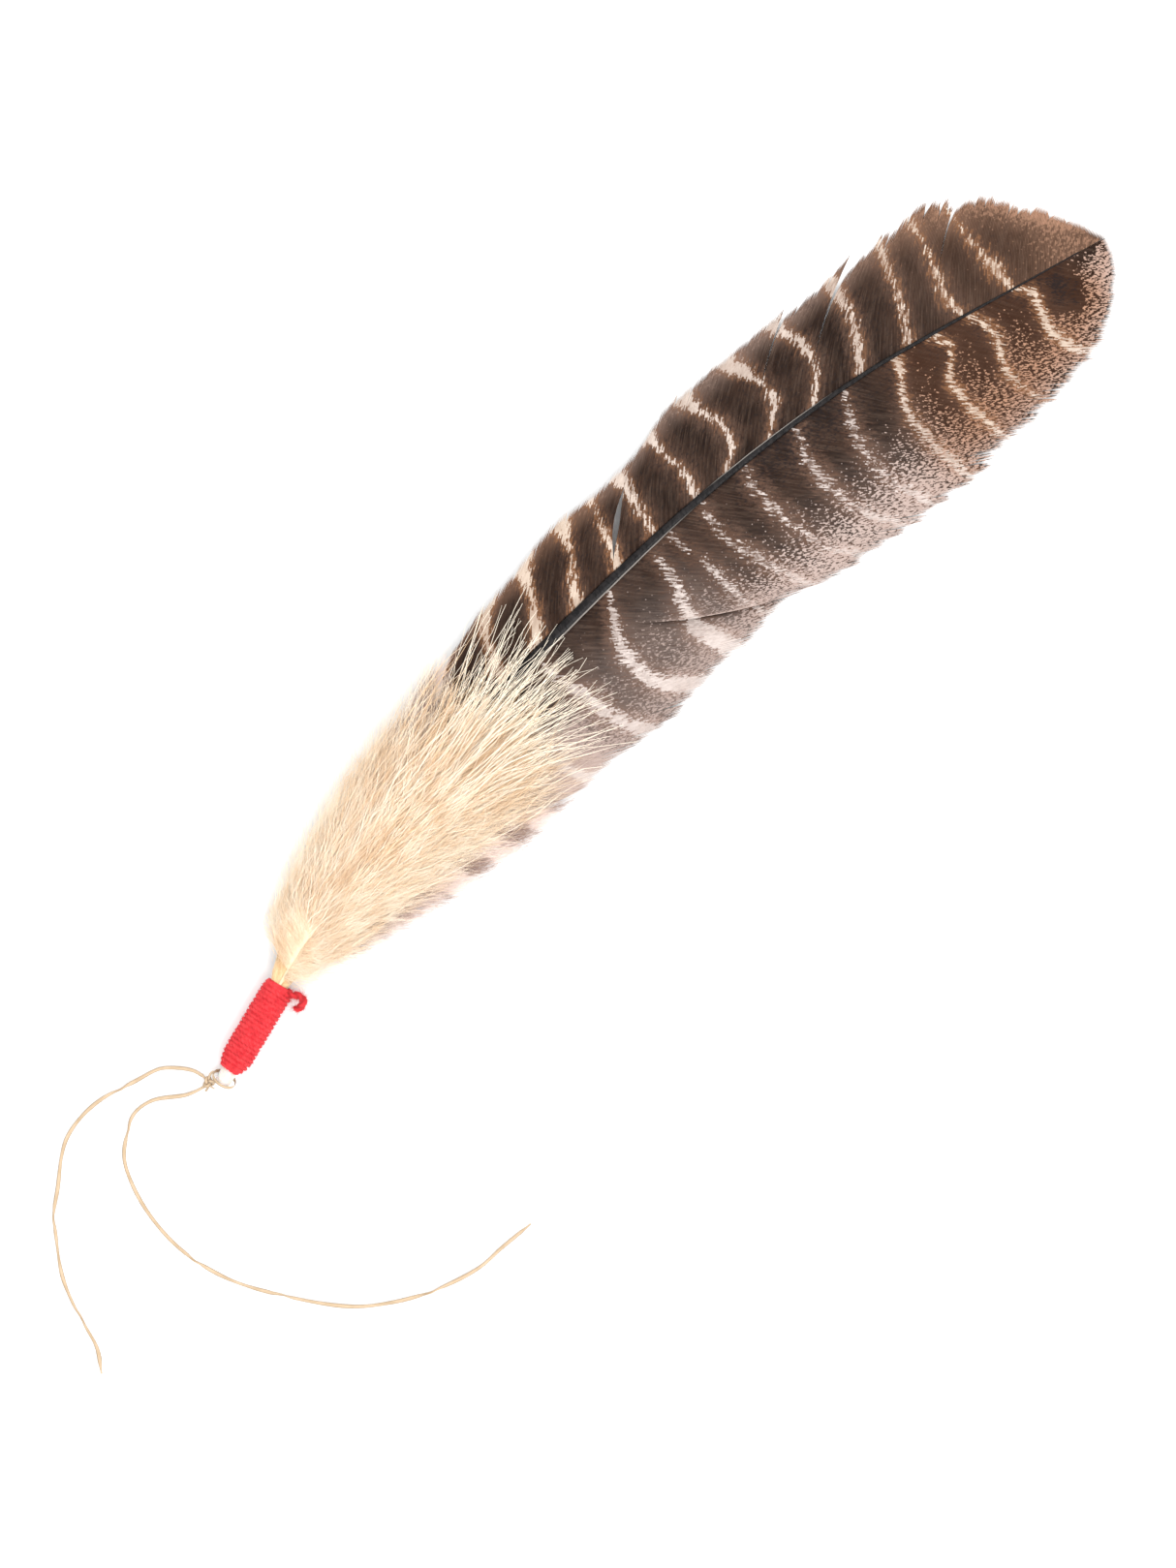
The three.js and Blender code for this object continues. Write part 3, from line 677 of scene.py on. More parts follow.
def wide_vane_tones(x, y, t, half, phase):
    """The same for the wide vane, which changes at its tip and again in its lowest third."""
    high, lower = ramp(y, 208, 232), ramp(y, 168, 150)
    pale = lerp(0.04 + 0.58 * ramp(t, 0.10, 0.9), 0.245 + 0.255 * ramp(t, 0.08, 0.9), high)
    pale = pale - 0.22 * ramp(t, 0.40, 0.05) * ramp(y, 172, 190) * (1 - 0.5 * high)
    pale = pale - 0.06 * ramp(y, 136, 118) * ramp(t, 0.3, 0.7)
    spot = np.hypot((x - 3.5) / 6.5, (y - 270.5) / 4.5) + 0.25 * np.sin(0.9 * x + 0.5) * np.cos(0.8 * y)
    pale = pale + 0.10 * ramp(y - 0.25 * x, 270, 280) - 0.62 * ramp(spot, 1.5, 0.1)
    pale = pale - lerp(0.05, 0.20, high) * (ramp(phase % 1, 0.5, 0.8) * ramp(t, 0.75, 0.4))
    pale = pale + 0.50 * ramp(y, 122, 99) * ramp(t, 0.15, 0.5)
    pale = pale - 0.17 * lower * ramp(t, 0.40, 0.65) + 0.09 * lower * ramp(t, 0.05, 0.3)
    speck = lerp(0.82, 1.0, high) - 0.42 * lower
    rust = lerp(0.08, 0.85, high) - 0.35 * high * ramp(t, 0.7, 1.0) - 0.35 * ramp(y - 0.25 * x, 272, 281)
    broken = lerp(0.85, 0.25, high) * (1 - 0.6 * ramp(t, 0.5, 0.9)) * (1 - 0.55 * lower)
    return pale, speck, rust, broken, half + 0.75 * lower * ramp(y, 96, 108) * ramp(t, 0.1, 0.4)


def vane_lobe(name, side, spec, material):
    """A run of barbs, each a ridge as wide as its distance from the next."""
    root, edge = spec
    flat, share, rng = barb_lines(name, side, root, edge, BARB_SPACING, BARB_STEPS, RAGGED.get(name, 0.3))
    if name in SLITS:
        flat = part_at(flat, share, *SLITS[name], side)
    x, y = flat[..., 0], flat[..., 1]
    count, steps = x.shape
    t = np.linspace(0, 1, steps)[None]
    along_shaft = np.arange(count)[:, None] * BARB_SPACING
    uneven = wobble(rng, along_shaft + 4 * t, 9, 0.16) + wobble(rng, along_shaft, 1.7, 0.03)
    z = web_height(x, y) + uneven * ramp(t, 0.05, 0.6)
    if name in FOLDS:
        z = z + beside_end(share[:, None], t, *FOLDS[name])
    paths = np.stack([x, y, z], axis=2)
    tangent = frames(paths)[0]
    ahead = np.gradient(paths, axis=0)
    ahead = ahead - (ahead * tangent).sum(2, keepdims=True) * tangent
    spacing = np.clip(np.linalg.norm(ahead, axis=2), 0.05, 0.6)
    across = unit(ahead)
    lift = np.cross(tangent, across)
    lift = lift * np.sign(lift[..., 2:])
    lengths = np.linalg.norm(np.diff(paths, axis=1), axis=2)
    run = np.concatenate([np.zeros((count, 1)), np.cumsum(lengths, axis=1)], 1)
    left = run[:, -1:] - run
    width = spacing * lerp(1.0, 0.72, ramp(t, 0.86, 1.0)) * lerp(0.10, 1.0, ramp(left, 0, 2.6))
    thick = BARB_RISE * lerp(0.35, 1.0, ramp(left, 0, 2.5)) * lerp(1.25, 0.8, t)
    shape = swept(paths, across * width[..., None], lift * thick[..., None], BARB_SECTION)
    phase, gap, half = bar_fields(side, x, y)
    own = rng.random((count, 1))
    weave = np.stack([np.broadcast_to(v, x.shape) for v in (along_shaft * 0.62, run, own)], axis=2)
    tones = narrow_vane_tones(x, y, t, half) if side < 0 else wide_vane_tones(x, y, t, half, phase)
    pale, speck, rust, broken, half = tones
    # A painted shadow on the base run's last barbs and a painted highlight on the middle run's first barbs,
    # along the step between them.
    if name in STEP_PAINTED_SHADE_AND_HIGHLIGHT:
        pale = pale - beside_end(share[:, None], t, *STEP_PAINTED_SHADE_AND_HIGHLIGHT[name])
    fields = {"bar": phase, "gap": gap, "bar_half": half, "pale": np.clip(pale, -0.5, 1.1), "speck": speck,
              "rust": rust, "broken": broken}
    fields = {k: per_corner(np.broadcast_to(v, x.shape), BARB_SECTION) for k, v in fields.items()}
    return piece(name + "_barbs", shape, material, "barred_vane", [name], **fields,
                 weave=per_corner(weave, BARB_SECTION))


def vane_finish():
    finish = Finish("barred_vane", Specular_IOR_Level=0.05)
    weave, place = finish.vector("weave"), finish.place()
    streak = finish.woven(weave, (2.4, 0.30, 0), 3, 0.65)
    fleck = finish.woven(weave, (2.1, 0.95, 0), 1)
    dash = finish.woven(weave, (1.9, 0.42, 0), 2, 0.6)
    hair = finish.woven(weave, (6.0, 0.12, 0), 2)
    blot, cloud = finish.noise(place, 130, 2), finish.noise(place, 55, 2)
    pale, speck, rust, broken = (finish.value(v) for v in ("pale", "speck", "rust", "broken"))

    # Distance from the nearest bar's edge, in millimetres, ragged along the barbs.
    phase = finish.math("FRACT", finish.math("ADD", finish.value("bar"), 0.5))
    away = finish.times(finish.math("ABSOLUTE", finish.math("SUBTRACT", phase, 0.5)), finish.value("gap"))
    rag = finish.times(finish.math("SUBTRACT", streak, 0.5), finish.math("MULTIPLY_ADD", broken, 3.0, 9.0))
    rag = finish.around(blot, 3.0, rag)
    half = finish.math("MULTIPLY_ADD", finish.value("bar_half"), 1.1, -0.42)
    past = finish.math("SUBTRACT", finish.math("ADD", away, rag), half)

    dark = finish.mix(finish.ramp(blot, 0.35, 0.65), srgb(40, 27, 21), srgb(66, 48, 39))
    brown = finish.mix(finish.ramp(cloud, 0.35, 0.65), srgb(84, 61, 50), srgb(108, 82, 69))
    ground = finish.mix(finish.ramp(past, 0.5, 5.0), brown, dark)
    ground = finish.mix(finish.ramp(hair, 0.35, 0.75, 0.0, 0.36), ground, srgb(124, 103, 90))
    warm = finish.times(finish.ramp(rust, 0.4, 0.9), finish.times(speck, 0.34))
    ground = finish.mix(warm, ground, srgb(112, 70, 47))
    ground = finish.mix(finish.times(rust, 0.30), ground, srgb(38, 27, 21))
    # Dark grey flecks where the pale value is low, deepest below zero: the real dark spot near the tip, and
    # the painted shadow along the wide vane's step.
    stain_and_painted_shade = finish.around(fleck, -1.5, finish.times(pale, -1.0))
    ground = finish.mix(finish.ramp(stain_and_painted_shade, -0.05, 0.5, 0.0, 0.85), ground, srgb(46, 39, 39))

    # Bleached and flecked towards the outer edge.
    smooth = finish.times(pale, finish.ramp(streak, 0.25, 0.75, 0.45, 1.2))
    stipple = finish.ramp(finish.around(pale, 0.62, fleck), 0.44, 0.56)
    share = finish.node("Mix", {0: speck, 2: smooth, 3: stipple}, 0, data_type="FLOAT")
    ground = finish.mix(share, ground, finish.mix(rust, srgb(228, 206, 197), srgb(196, 143, 108)))

    # The cream of the bars, broken into dashes, with a rusty rim.
    rim = finish.times(finish.ramp(past, 2.0, 0.0), finish.math("MULTIPLY_ADD", rust, 0.8, 0.05))
    gate = finish.math("SUBTRACT", 1.0, finish.times(broken, finish.ramp(dash, 0.60, 0.42)))
    cream = finish.times(finish.ramp(past, 0.3, -0.45), gate)
    cream = finish.times(cream, finish.ramp(blot, 0.35, 0.55, 0.7, 1.0))
    light = finish.mix(rust, srgb(244, 230, 224), srgb(242, 220, 198))
    finish.surface(finish.mix(cream, finish.mix(rim, ground, srgb(160, 112, 78)), light), hair, (0.55, 0.8),
                   0.35, 0.06)
    return finish.material


def vanes():
    material = vane_finish()
    for side, lobes in ((-1, LEFT_LOBES), (1, RIGHT_LOBES)):
        for name, spec in meeting(lobes).items():
            vane_lobe(name, side, spec, material)


# ---------------------------------------------------------------- the shaft and the quill


def rounded(c):
    """A number from -1 to 1 moved away from 0, which makes a round section of such numbers fuller."""
    return math.copysign(abs(c) ** 0.8, c)


def rachis():
    finish = Finish("dark_shaft", Specular_IOR_Level=0.12)
    weave = finish.vector("weave")
    ripple, grain = finish.woven(weave, (0.5, 0.75, 1), 3), finish.woven(weave, (7, 0.08, 1), 2)
    body = finish.mix(finish.ramp(ripple, 0.35, 0.7), srgb(17, 15, 16), srgb(40, 36, 36))
    body = finish.mix(finish.ramp(finish.value("base"), 0, 1), body, srgb(226, 214, 196))
    # The rim value mixes in a painted highlight: a pale line along the shaft's upper edges.
    finish.set("Base Color", finish.mix(finish.value("rim"), body, srgb(205, 196, 188)))
    finish.set("Roughness", finish.ramp(ripple, 0.3, 0.7, 0.16, 0.36))
    finish.bump(finish.math("ADD", ripple, finish.times(grain, 0.3)), 0.55, 0.35)
    section = [(rounded(c), rounded(s)) for c, s in circle(20)]
    rows = SHAFT_ROWS[SHAFT_ROWS[:, 1] <= SHAFT_END]
    line = route(np.stack([rows[:, 0], rows[:, 1], rows[:, 2] - SHAFT_SINK * rows[:, 3]], axis=1), 420)
    rng = random_for("rachis")
    run = np.linspace(0, length_of(line), len(line))
    half = shaft_at(line[:, 1])[:, 2] / 2 * (1 + wobble(rng, run, 7, 0.012))
    around = np.tile(np.linspace(-math.pi, math.pi, len(section), endpoint=False), len(line))
    weave = np.stack([around * 1.2, np.repeat(run, len(section)), 0 * around], axis=1)
    y = np.repeat(line[:, 1], len(section))
    # A painted highlight, a pale line, runs along one upper edge of the shaft low down and along the other
    # one higher up.
    right, left = (np.tile([1.0 if sign * c > 0.8 and s > 0.2 else 0.0 for c, s in section], len(line))
                   for sign in (1, -1))
    rim = 0.7 * right * ramp(y, 100, 112) * ramp(y, 172, 150)
    rim = rim + 0.8 * left * ramp(y, 170, 182) * ramp(y, 214, 200)
    piece("rachis_shaft", rod(line, half, section, 0.98), finish.material, "dark_shaft", ["rachis"],
          weave=weave,
          base=ramp(y, 70, 24), rim=rim)


def handle_frame():
    """Unit vectors along the handle and to its right, in plan."""
    lean = HANDLE["lean"]
    return np.array([-math.sin(lean), math.cos(lean), 0]), np.array([math.cos(lean), math.sin(lean), 0])


def calamus():
    finish = Finish("pale_horn", Roughness=0.3, Specular_IOR_Level=0.5, Subsurface_Weight=0.25,
                    Subsurface_Scale=0.002)
    cloud = finish.noise(finish.place(), 300, 3)
    fibre = finish.woven(finish.vector("weave"), (3, 0.15, 1), 3)
    body = finish.mix(finish.ramp(cloud, 0.3, 0.7), srgb(252, 246, 240), srgb(243, 233, 220))
    finish.surface(finish.mix(finish.ramp(fibre, 0.5, 0.8, 0, 0.4), body, srgb(226, 208, 184)), fibre,
                   (0.22, 0.4), 0.3, 0.08)
    start, end = CALAMUS["start"], CALAMUS["end"]
    r, wall, tip = CALAMUS["radius"], CALAMUS["wall"], CALAMUS["end_radius"]
    profile = [(tip - wall, start + 0.5), (tip - wall, start + 0.12), (tip - 0.3, start),
               (tip - 0.12, start + 0.02), (tip, start + 0.16), (tip + 0.05, start + 1),
               (r - 0.04, start + 2.4),
               (r, start + 4)]
    profile += [(r, a) for a in np.linspace(start + 6, end - 0.3, 16)]
    profile += [(r - 0.12, end), (r - wall + 0.1, end), (r - wall, end - 0.2)]
    profile += [(r - wall, a) for a in np.linspace(end - 2, start + 4, 16)]
    turns = 40
    points, faces, angle = turned_profile(profile, turns, CALAMUS["height"])
    run = np.repeat(np.array(profile)[:, 1], turns)
    weave = np.stack([np.tile(angle * r, len(profile)), run, 0 * run], 1)
    piece("calamus_tube", (points, faces), finish.material, "pale_horn", ["calamus"], weave=weave)


def pulp():
    finish = Finish("pulp", Roughness=0.9, Specular_IOR_Level=0.1)
    fold = finish.noise(finish.place(), 1500, 3)
    finish.set("Base Color", finish.mix(finish.ramp(fold, 0.3, 0.7), srgb(214, 198, 170),
                                        srgb(186, 166, 136)))
    finish.bump(fold, 0.6, 0.2)
    start, end = PULP["start"], PULP["end"]
    run = np.linspace(start, end, 90)
    line = handle_frame()[0] * run[:, None] + UP * CALAMUS["height"]
    shut = np.abs(np.sin(run * math.pi / 2.6)) ** 0.5
    half = PULP["radius"] * lerp(0.45, 1.0, shut) * (1 + wobble(random_for("pulp"), run, 4, 0.04))
    half = half * ramp(run, start - 0.4, start + 1.0) * ramp(run, end + 0.4, end - 1.0)
    piece("quill_pulp_caps", rod(line, half, circle(12)), finish.material, "pulp", ["quill_pulp"])


# ---------------------------------------------------------------- down

HAIR_SECTION = [(1, -0.5), (0, 1), (-1, -0.5)]
PLUME_LEFT_EDGE = np.array([(12, -7.5), (16, -8.5), (19, -12.5), (23, -17), (30, -20), (40, -22.5),
                            (50, -24.5),
                            (60, -26.8), (80, -30), (100, -33.5), (124, -37)])
PLUME_RIGHT_EDGE = np.array([(12, -1.5), (16, -0.5), (20, 0.2), (28, 1.2), (50, 2.6), (70, 4.2), (85, 5.5),
                             (100, 8),
                             (124, 13)])
QUILL = np.array(PLUME_QUILL + [(-13.4, 90, 11.6), (-14.5, 130, 12)])
# The barbs leave the quill between these, and stand this high over the vane, less towards the plume's edges.
PLUME_ROOT, PLUME_TOP = 13.5, 76
CROWN, DOME = 5.4, 0.75


def hairs(name, paths, half, material, slot, stands_for=(), **values):
    """Many thin closed fibres; half widths per point, and values per point or per fibre."""
    _, side, lift = frames(paths)
    shape = swept(paths, side * half[..., None], lift * half[..., None], HAIR_SECTION)
    values = {k: per_corner(np.broadcast_to(v, half.shape), HAIR_SECTION) for k, v in values.items()}
    return piece(name, shape, material, slot, stands_for, **values)


def down_finish(name, pale, body, deep):
    finish = Finish(name, Roughness=0.95, Specular_IOR_Level=0.12, Sheen_Weight=0.15)
    tuft, fibre = finish.noise(finish.place(), 200, 3), finish.noise(finish.place(), 2200, 1)
    tone = finish.around(tuft, 1.3, finish.value("tone"))
    colour = finish.mix(finish.ramp(tone, 0.0, 0.7), deep, body)
    bright = finish.math("ADD", finish.value("along"), finish.math("MULTIPLY_ADD", tone, 0.8, -0.7))
    finish.surface(finish.mix(finish.ramp(bright, 0.35, 1.0), colour, pale), fibre, (0.85, 1.0), 0.2, 0.03)
    return finish.material


def quill_at(y):
    """The plume quill's x and height at y."""
    return np.interp(y, QUILL[:, 1], QUILL[:, 0]), np.interp(y, QUILL[:, 1], QUILL[:, 2])


def plume_edge(left, y):
    """x of the plume's outline at y, on its left or its right."""
    return np.where(left, np.interp(y, *PLUME_LEFT_EDGE.T), np.interp(y, *PLUME_RIGHT_EDGE.T))


def lane_x(lane, y):
    """x at y of a lane: -1 is the plume's left edge, 0 its quill and 1 its right edge."""
    quill_x = quill_at(y)[0]
    return quill_x + np.abs(lane) * (plume_edge(lane < 0, y) - quill_x)


def mound(y):
    """How high the plume stands at y, as a share of its crown."""
    return ramp(y, 8, 40) * ramp(y, 130, 84) * 0.88 + 0.12


def ripple(rng, t, count, low, high, turn=WAVE_TURN):
    """A wave along each of count fibres, of low to high turns."""
    return np.sin(turn * t * rng.uniform(low, high, (count, 1)) + rng.uniform(0, WAVE_TURN, (count, 1)))


def plume_lines(rng, tip_y, lane, level, length, drift, curl=0.6, steps=11, sway=None, buried=0.0):
    """Barbs of the plume: each leaves the quill, swings out to its lane and runs to its tip."""
    count = len(tip_y)
    root = np.clip(tip_y - length, PLUME_ROOT, PLUME_TOP)
    t = np.linspace(0, 1, steps)[None]
    y = lerp(root[:, None], tip_y[:, None], t)
    swing = lane[:, None] * (1 - (1 - t) ** 1.7)
    swing = np.clip(swing + drift[:, None] * t ** 1.5, -1.15, 1.15)
    run = np.abs(y - root[:, None])

    def wave():
        return rng.uniform(0.4, 1, (count, 1)) * np.sin(
            2 * math.pi * run / rng.uniform(14, 34, (count, 1)) + rng.uniform(0, 2 * math.pi, (count, 1)))

    x = lane_x(swing, y) + curl * wave() * ramp(t, 0, 0.5)
    if sway is not None:
        size, wavelength, phase = (s[:, None] for s in sway)
        x = x + size * np.sin(run / wavelength + phase) * ramp(t, 0.1, 0.6)
    height = level[:, None] * CROWN * mound(y) * (1 - DOME * np.clip(swing, -1, 1) ** 2)
    under = web_height(x, y) + 0.6 + height - buried * ramp(t, 0.75, 0.35)
    z = lerp(quill_at(y)[1] - 0.2 - buried, under, ramp(t, 0, 0.3)) + 0.5 * curl * wave() * ramp(t, 0.1, 0.6)
    return np.stack([x, y, np.maximum(z, 0.15)], axis=2), t


def quill_line_painted_shade(paths):
    """How much painted shade darkens the down along a line left of the quill."""
    x, y = paths[..., 0], paths[..., 1]
    middle = np.interp(y, [30, 45, 60, 70], [-14.0, -12.0, -9.5, -9.0])
    return 0.75 * np.exp(-((x - middle) / 2.4) ** 2) * ramp(y, 26, 36) * ramp(y, 68, 54)


def dulled(paths):
    """How much darker the down grows towards the dark vane, first left of the quill."""
    x, y = paths[..., 0], paths[..., 1]
    return 0.22 * ramp(y, 46, 64) * ramp(x, -6, -10) + 0.22 * ramp(y, 70, 86)


def tapering(t, half, tip=0.25):
    """Half widths along a fibre, thinner towards its tip."""
    return half[:, None] * lerp(1.0, tip, t ** 1.5)


def plume_body(name, stands_for, low, high, count, tufts, material):
    """Down in soft tufts between two lanes."""
    rng = random_for(name)
    tuft = rng.integers(0, tufts, count)
    lane = rng.uniform(low, high, tufts)[tuft] + rng.normal(0, 0.08, count)
    lane = np.clip(lane, low - 0.04, high + 0.04)
    top = np.interp(lane, [-1, -0.6, -0.2, 0.1, 0.6, 1], [33, 43, 58, 69, 67, 60])
    tip_y = 27 + (top + 7) * rng.beta(1.4, 0.9, tufts)[tuft] + rng.normal(0, 4, count)
    level = rng.uniform(0.3, 1.0, tufts)[tuft] + rng.normal(0, 0.09, count)
    length = rng.uniform(30, 58, count)
    drift = rng.normal(0, 0.26, tufts)[tuft] + rng.normal(0, 0.05, count)
    sway = [rng.uniform(0.5, 2.2, tufts)[tuft], rng.uniform(3, 6, tufts)[tuft],
            rng.uniform(0, WAVE_TURN, tufts)[tuft] + rng.normal(0, 0.35, count)]
    paths, t = plume_lines(rng, tip_y, lane, np.clip(level, 0.03, 1.1), length, drift, sway=sway)
    half = rng.uniform(0.028, 0.06, count)
    tuft_tone = rng.normal(0, 0.24, tufts)[tuft]
    # The tone is lowered by the painted shade left of the quill, and it grows darker towards the dark vane.
    tone = (0.62 + tuft_tone + rng.normal(0, 0.16, count))[:, None] - quill_line_painted_shade(paths) - dulled(paths)
    hairs(name, paths, tapering(t, half), material, "cream_down", stands_for, tone=tone, along=t)


def plume_fringe(material):
    """Single long barbs that end over the dark vane."""
    rng = random_for("plume_fringe")
    count = 280
    lane = rng.triangular(-1.2, 0.3, 1.1, count)
    top = 123 - 15 * np.abs(lane) ** 3
    tip_y = top - 27 * rng.beta(1.0, 1.3, count) + rng.normal(0, 1.2, count)
    drift = rng.normal(0, 0.27, count)
    level, length = rng.uniform(0.5, 1.6, count), rng.uniform(38, 60, count)
    paths, t = plume_lines(rng, tip_y, lane, level, length, drift, 0.8, 16, buried=3.0)
    half = rng.uniform(0.06, 0.11, count)
    hairs("plume_fringe", paths, tapering(t, half, 0.55), material, "cream_down", tone=1.0,
          along=lerp(0.7, 1.0, t))


def plume_wisps(material):
    """Thicker barbs that wander over the plume and catch the light, without those that stray far past it."""
    rng = random_for("plume_wisps")
    count, steps, widest_lane = 1500, 14, 1.2
    t = np.linspace(0, 1, steps)[None]
    y = 15 + 62 * rng.beta(1.0, 1.1, count)
    lane = np.clip(rng.normal(-0.05, 0.45, count), -0.95, 0.95)
    x = lane_x(lane, y)
    length = rng.uniform(12, 34, count) * ramp(y, -30, 45)
    sign = np.where(lane < 0, -1.0, 1.0)
    angle = 0.10 + 0.45 * lane + rng.normal(0, 0.2, count) + 0.85 * sign * ramp(y, 50, 18) * rng.random(count)
    bend = rng.normal(0, 0.35, count)
    heading = angle[:, None] - 0.15 + bend[:, None] * t - 0.35 * (angle[:, None] * t)
    step = (length / (steps - 1))[:, None]
    xs = x[:, None] + np.cumsum(np.sin(heading) * step, axis=1) + 0.35 * ripple(rng, t, count, 1, 3)
    ys = y[:, None] + np.cumsum(np.cos(heading) * step, axis=1)
    middle = quill_at(ys)[0]
    share = np.where(xs < middle, (middle - xs) / (middle - plume_edge(True, ys)),
                     (xs - middle) / (plume_edge(False, ys) - middle))
    z = web_height(xs, ys) + 0.8 + 5.5 * mound(ys) * (1 - DOME * np.clip(share, 0, 1) ** 2)
    z = z + rng.uniform(-0.3, 0.9, (count, 1)) - 1.2 * (1 - t) ** 3
    half = rng.uniform(0.05, 0.12, count)
    inside = share.max(axis=1) < widest_lane
    paths = np.stack([xs, ys, np.maximum(z, 0.2)], axis=2)[inside]
    # The tone is lowered by part of the painted shade left of the quill, and it grows darker towards the dark
    # vane.
    tone = rng.uniform(0.1, 1.3, (len(paths), 1)) - 0.7 * quill_line_painted_shade(paths) - dulled(paths)
    hairs("plume_wisps", paths, tapering(t, half[inside], 0.35), material, "cream_down", tone=tone,
          along=lerp(0.55, 1.0, t))


def plume_fluff(material):
    """The finest down, lying over the plume in all the directions near its own."""
    rng = random_for("plume_fluff")
    count = 3500
    lane = rng.uniform(-1.0, 1.0, count)
    y = 16 + (76 - 24 * np.maximum(-lane, 0)) * rng.beta(1.1, 1.2, count)
    x = lane_x(lane, y)
    length = rng.uniform(7, 20, count)
    angle = 0.34 * lane + rng.normal(0, 0.34, count)
    t = np.linspace(0, 1, 8)[None]
    bend = rng.normal(0, 2.0, (count, 1)) * t ** 2
    xs = x[:, None] + (length * np.sin(angle))[:, None] * t + bend
    ys = y[:, None] + (length * np.cos(angle))[:, None] * t
    crown = CROWN * mound(ys) * (1 - DOME * lane[:, None] ** 2) * rng.uniform(0.75, 1.15, (count, 1))
    z = web_height(xs, ys) + 0.7 + crown + rng.normal(0, 0.5, (count, 1)) * t
    half = rng.uniform(0.022, 0.04, count)
    paths = np.stack([xs, ys, z], axis=2)
    tone = rng.uniform(0.5, 1, (count, 1)) - dulled(paths)
    hairs("plume_fluff", paths, tapering(t, half), material, "cream_down", tone=tone, along=lerp(0.4, 1.0, t))


def plume_halo(material):
    """Short fine fluff that stands off the plume's sides and base."""
    rng = random_for("plume_halo")
    count = 3500
    left = rng.random(count) < 0.68
    y = np.where(left, rng.uniform(14, 90, count), rng.uniform(13, 90, count))
    sign = np.where(left, -1.0, 1.0)[:, None]
    inset = rng.uniform(-1, 7, count)[:, None]
    length = rng.uniform(5, 17, count) * np.where(left, 1.0, 0.5)
    angle = rng.normal(0.55, 0.32, count)
    t = np.linspace(0, 1, 8)[None]
    bend = rng.normal(0, 1.2, (count, 1)) * t ** 2
    x = plume_edge(left, y)[:, None] - sign * inset
    x = x + sign * (length * np.sin(angle))[:, None] * t + sign * bend
    ys = y[:, None] + (length * np.cos(angle))[:, None] * t - 0.5 * bend
    start = web_height(x[:, 0], ys[:, 0]) + rng.uniform(0.4, 3.5, count)
    z = lerp(start[:, None], rng.uniform(0.3, 3.5, (count, 1)), t)
    half = rng.uniform(0.018, 0.032, count)
    hairs("plume_halo", np.stack([x, ys, z], axis=2), tapering(t, half), material, "cream_down", tone=0.95,
          along=lerp(0.6, 1.0, t))


def plume_quill():
    finish = Finish("plume_horn", Roughness=0.35, Specular_IOR_Level=0.45)
    fibre = finish.woven(finish.vector("weave"), (5, 0.2, 1), 3)
    finish.set("Base Color", finish.mix(finish.ramp(fibre, 0.3, 0.7), srgb(252, 238, 204),
                                        srgb(240, 218, 172)))
    finish.set("Roughness", finish.ramp(fibre, 0.3, 0.7, 0.28, 0.5))
    finish.bump(fibre, 0.3, 0.05)
    line = route(PLUME_QUILL, 160)
    run = np.linspace(0, length_of(line), len(line))
    half = lerp(0.5, 0.22, run / run[-1]) * (1 + 0.04 * np.sin(run * 1.3))
    section = circle(14)
    around = np.tile(np.linspace(0, 3, len(section)), len(line))
    weave = np.stack([around, np.repeat(run, len(section)), 0 * around], axis=1)
    piece("plume_quill_stem", rod(line, half, section), finish.material, "plume_horn", ["plume_quill"],
          weave=weave)


def plume_base():
    """Short dense tan barbs at the root of the plume."""
    tans = [srgb(*c, 0.82) for c in ((253, 228, 188), (248, 214, 168), (236, 194, 142))]
    material = down_finish("tan_down", *tans)
    rng = random_for("plume_base")
    count = 1500
    left = rng.random(count) < 0.64
    root = rng.uniform(8.0, 18.5, count)
    reach = np.where(left, rng.uniform(1.0, 4.6, count), rng.uniform(0.6, 3.0, count))
    rise = rng.uniform(4.5, 7.5, count)
    t = np.linspace(0, 1, 9)[None]
    y = root[:, None] + rise[:, None] * t
    quill_x, quill_z = quill_at(y)
    out = (np.where(left, -1.0, 1.0) * reach)[:, None]
    x = quill_x + out * np.sin(t * math.pi / 2) * lerp(0.8, 1.15, ramp(y, 12, 20))
    z = quill_z - 0.35 - 0.085 * (x - quill_x) ** 2 + rng.normal(0, 0.12, (count, 1))
    half = rng.uniform(0.07, 0.13, count)
    tone = rng.uniform(0.2, 0.9, (count, 1))
    hairs("plume_base_tuft", np.stack([x, y, z], axis=2), tapering(t, half), material, "tan_down",
          ["plume_base_barbs"], tone=tone, along=t * 0.8)


def plume_skirt(material):
    """Down that flares out to both sides where the plume's barbs begin."""
    rng = random_for("plume_skirt")
    count = 1500
    left = rng.random(count) < 0.72
    root = np.where(left, 15.8 + 11.2 * rng.beta(1.7, 1.2, count), 13.4 + 11.6 * rng.beta(1.7, 1.3, count))
    reach = np.where(left, rng.uniform(5, 13, count), rng.uniform(3, 7, count))
    rise = rng.uniform(0.5, 8, count)
    t = np.linspace(0, 1, 10)[None]
    y = root[:, None] + rise[:, None] * t ** 1.4
    quill_x, quill_z = quill_at(y)
    wave = rng.uniform(0.1, 0.6, (count, 1)) * ripple(rng, t, count, 0.8, 2)
    across = reach[:, None] * np.sin(t * math.pi / 2)
    x = quill_x + np.where(left, -1.0, 1.0)[:, None] * across
    lift = rng.uniform(0.2, 1.0, (count, 1))
    z = quill_z + 0.4 + 1.2 * lift * ramp(t, 0, 0.3) - 0.035 * across ** 2 * lerp(1.3, 0.7, lift)
    half = rng.uniform(0.03, 0.07, count)
    paths = np.stack([x, y + wave, np.maximum(z, 0.3)], axis=2)
    hairs("plume_skirt", paths, tapering(t, half, 0.3), material, "cream_down",
          tone=rng.uniform(0.3, 1, (count, 1)), along=lerp(0.4, 1.0, t))


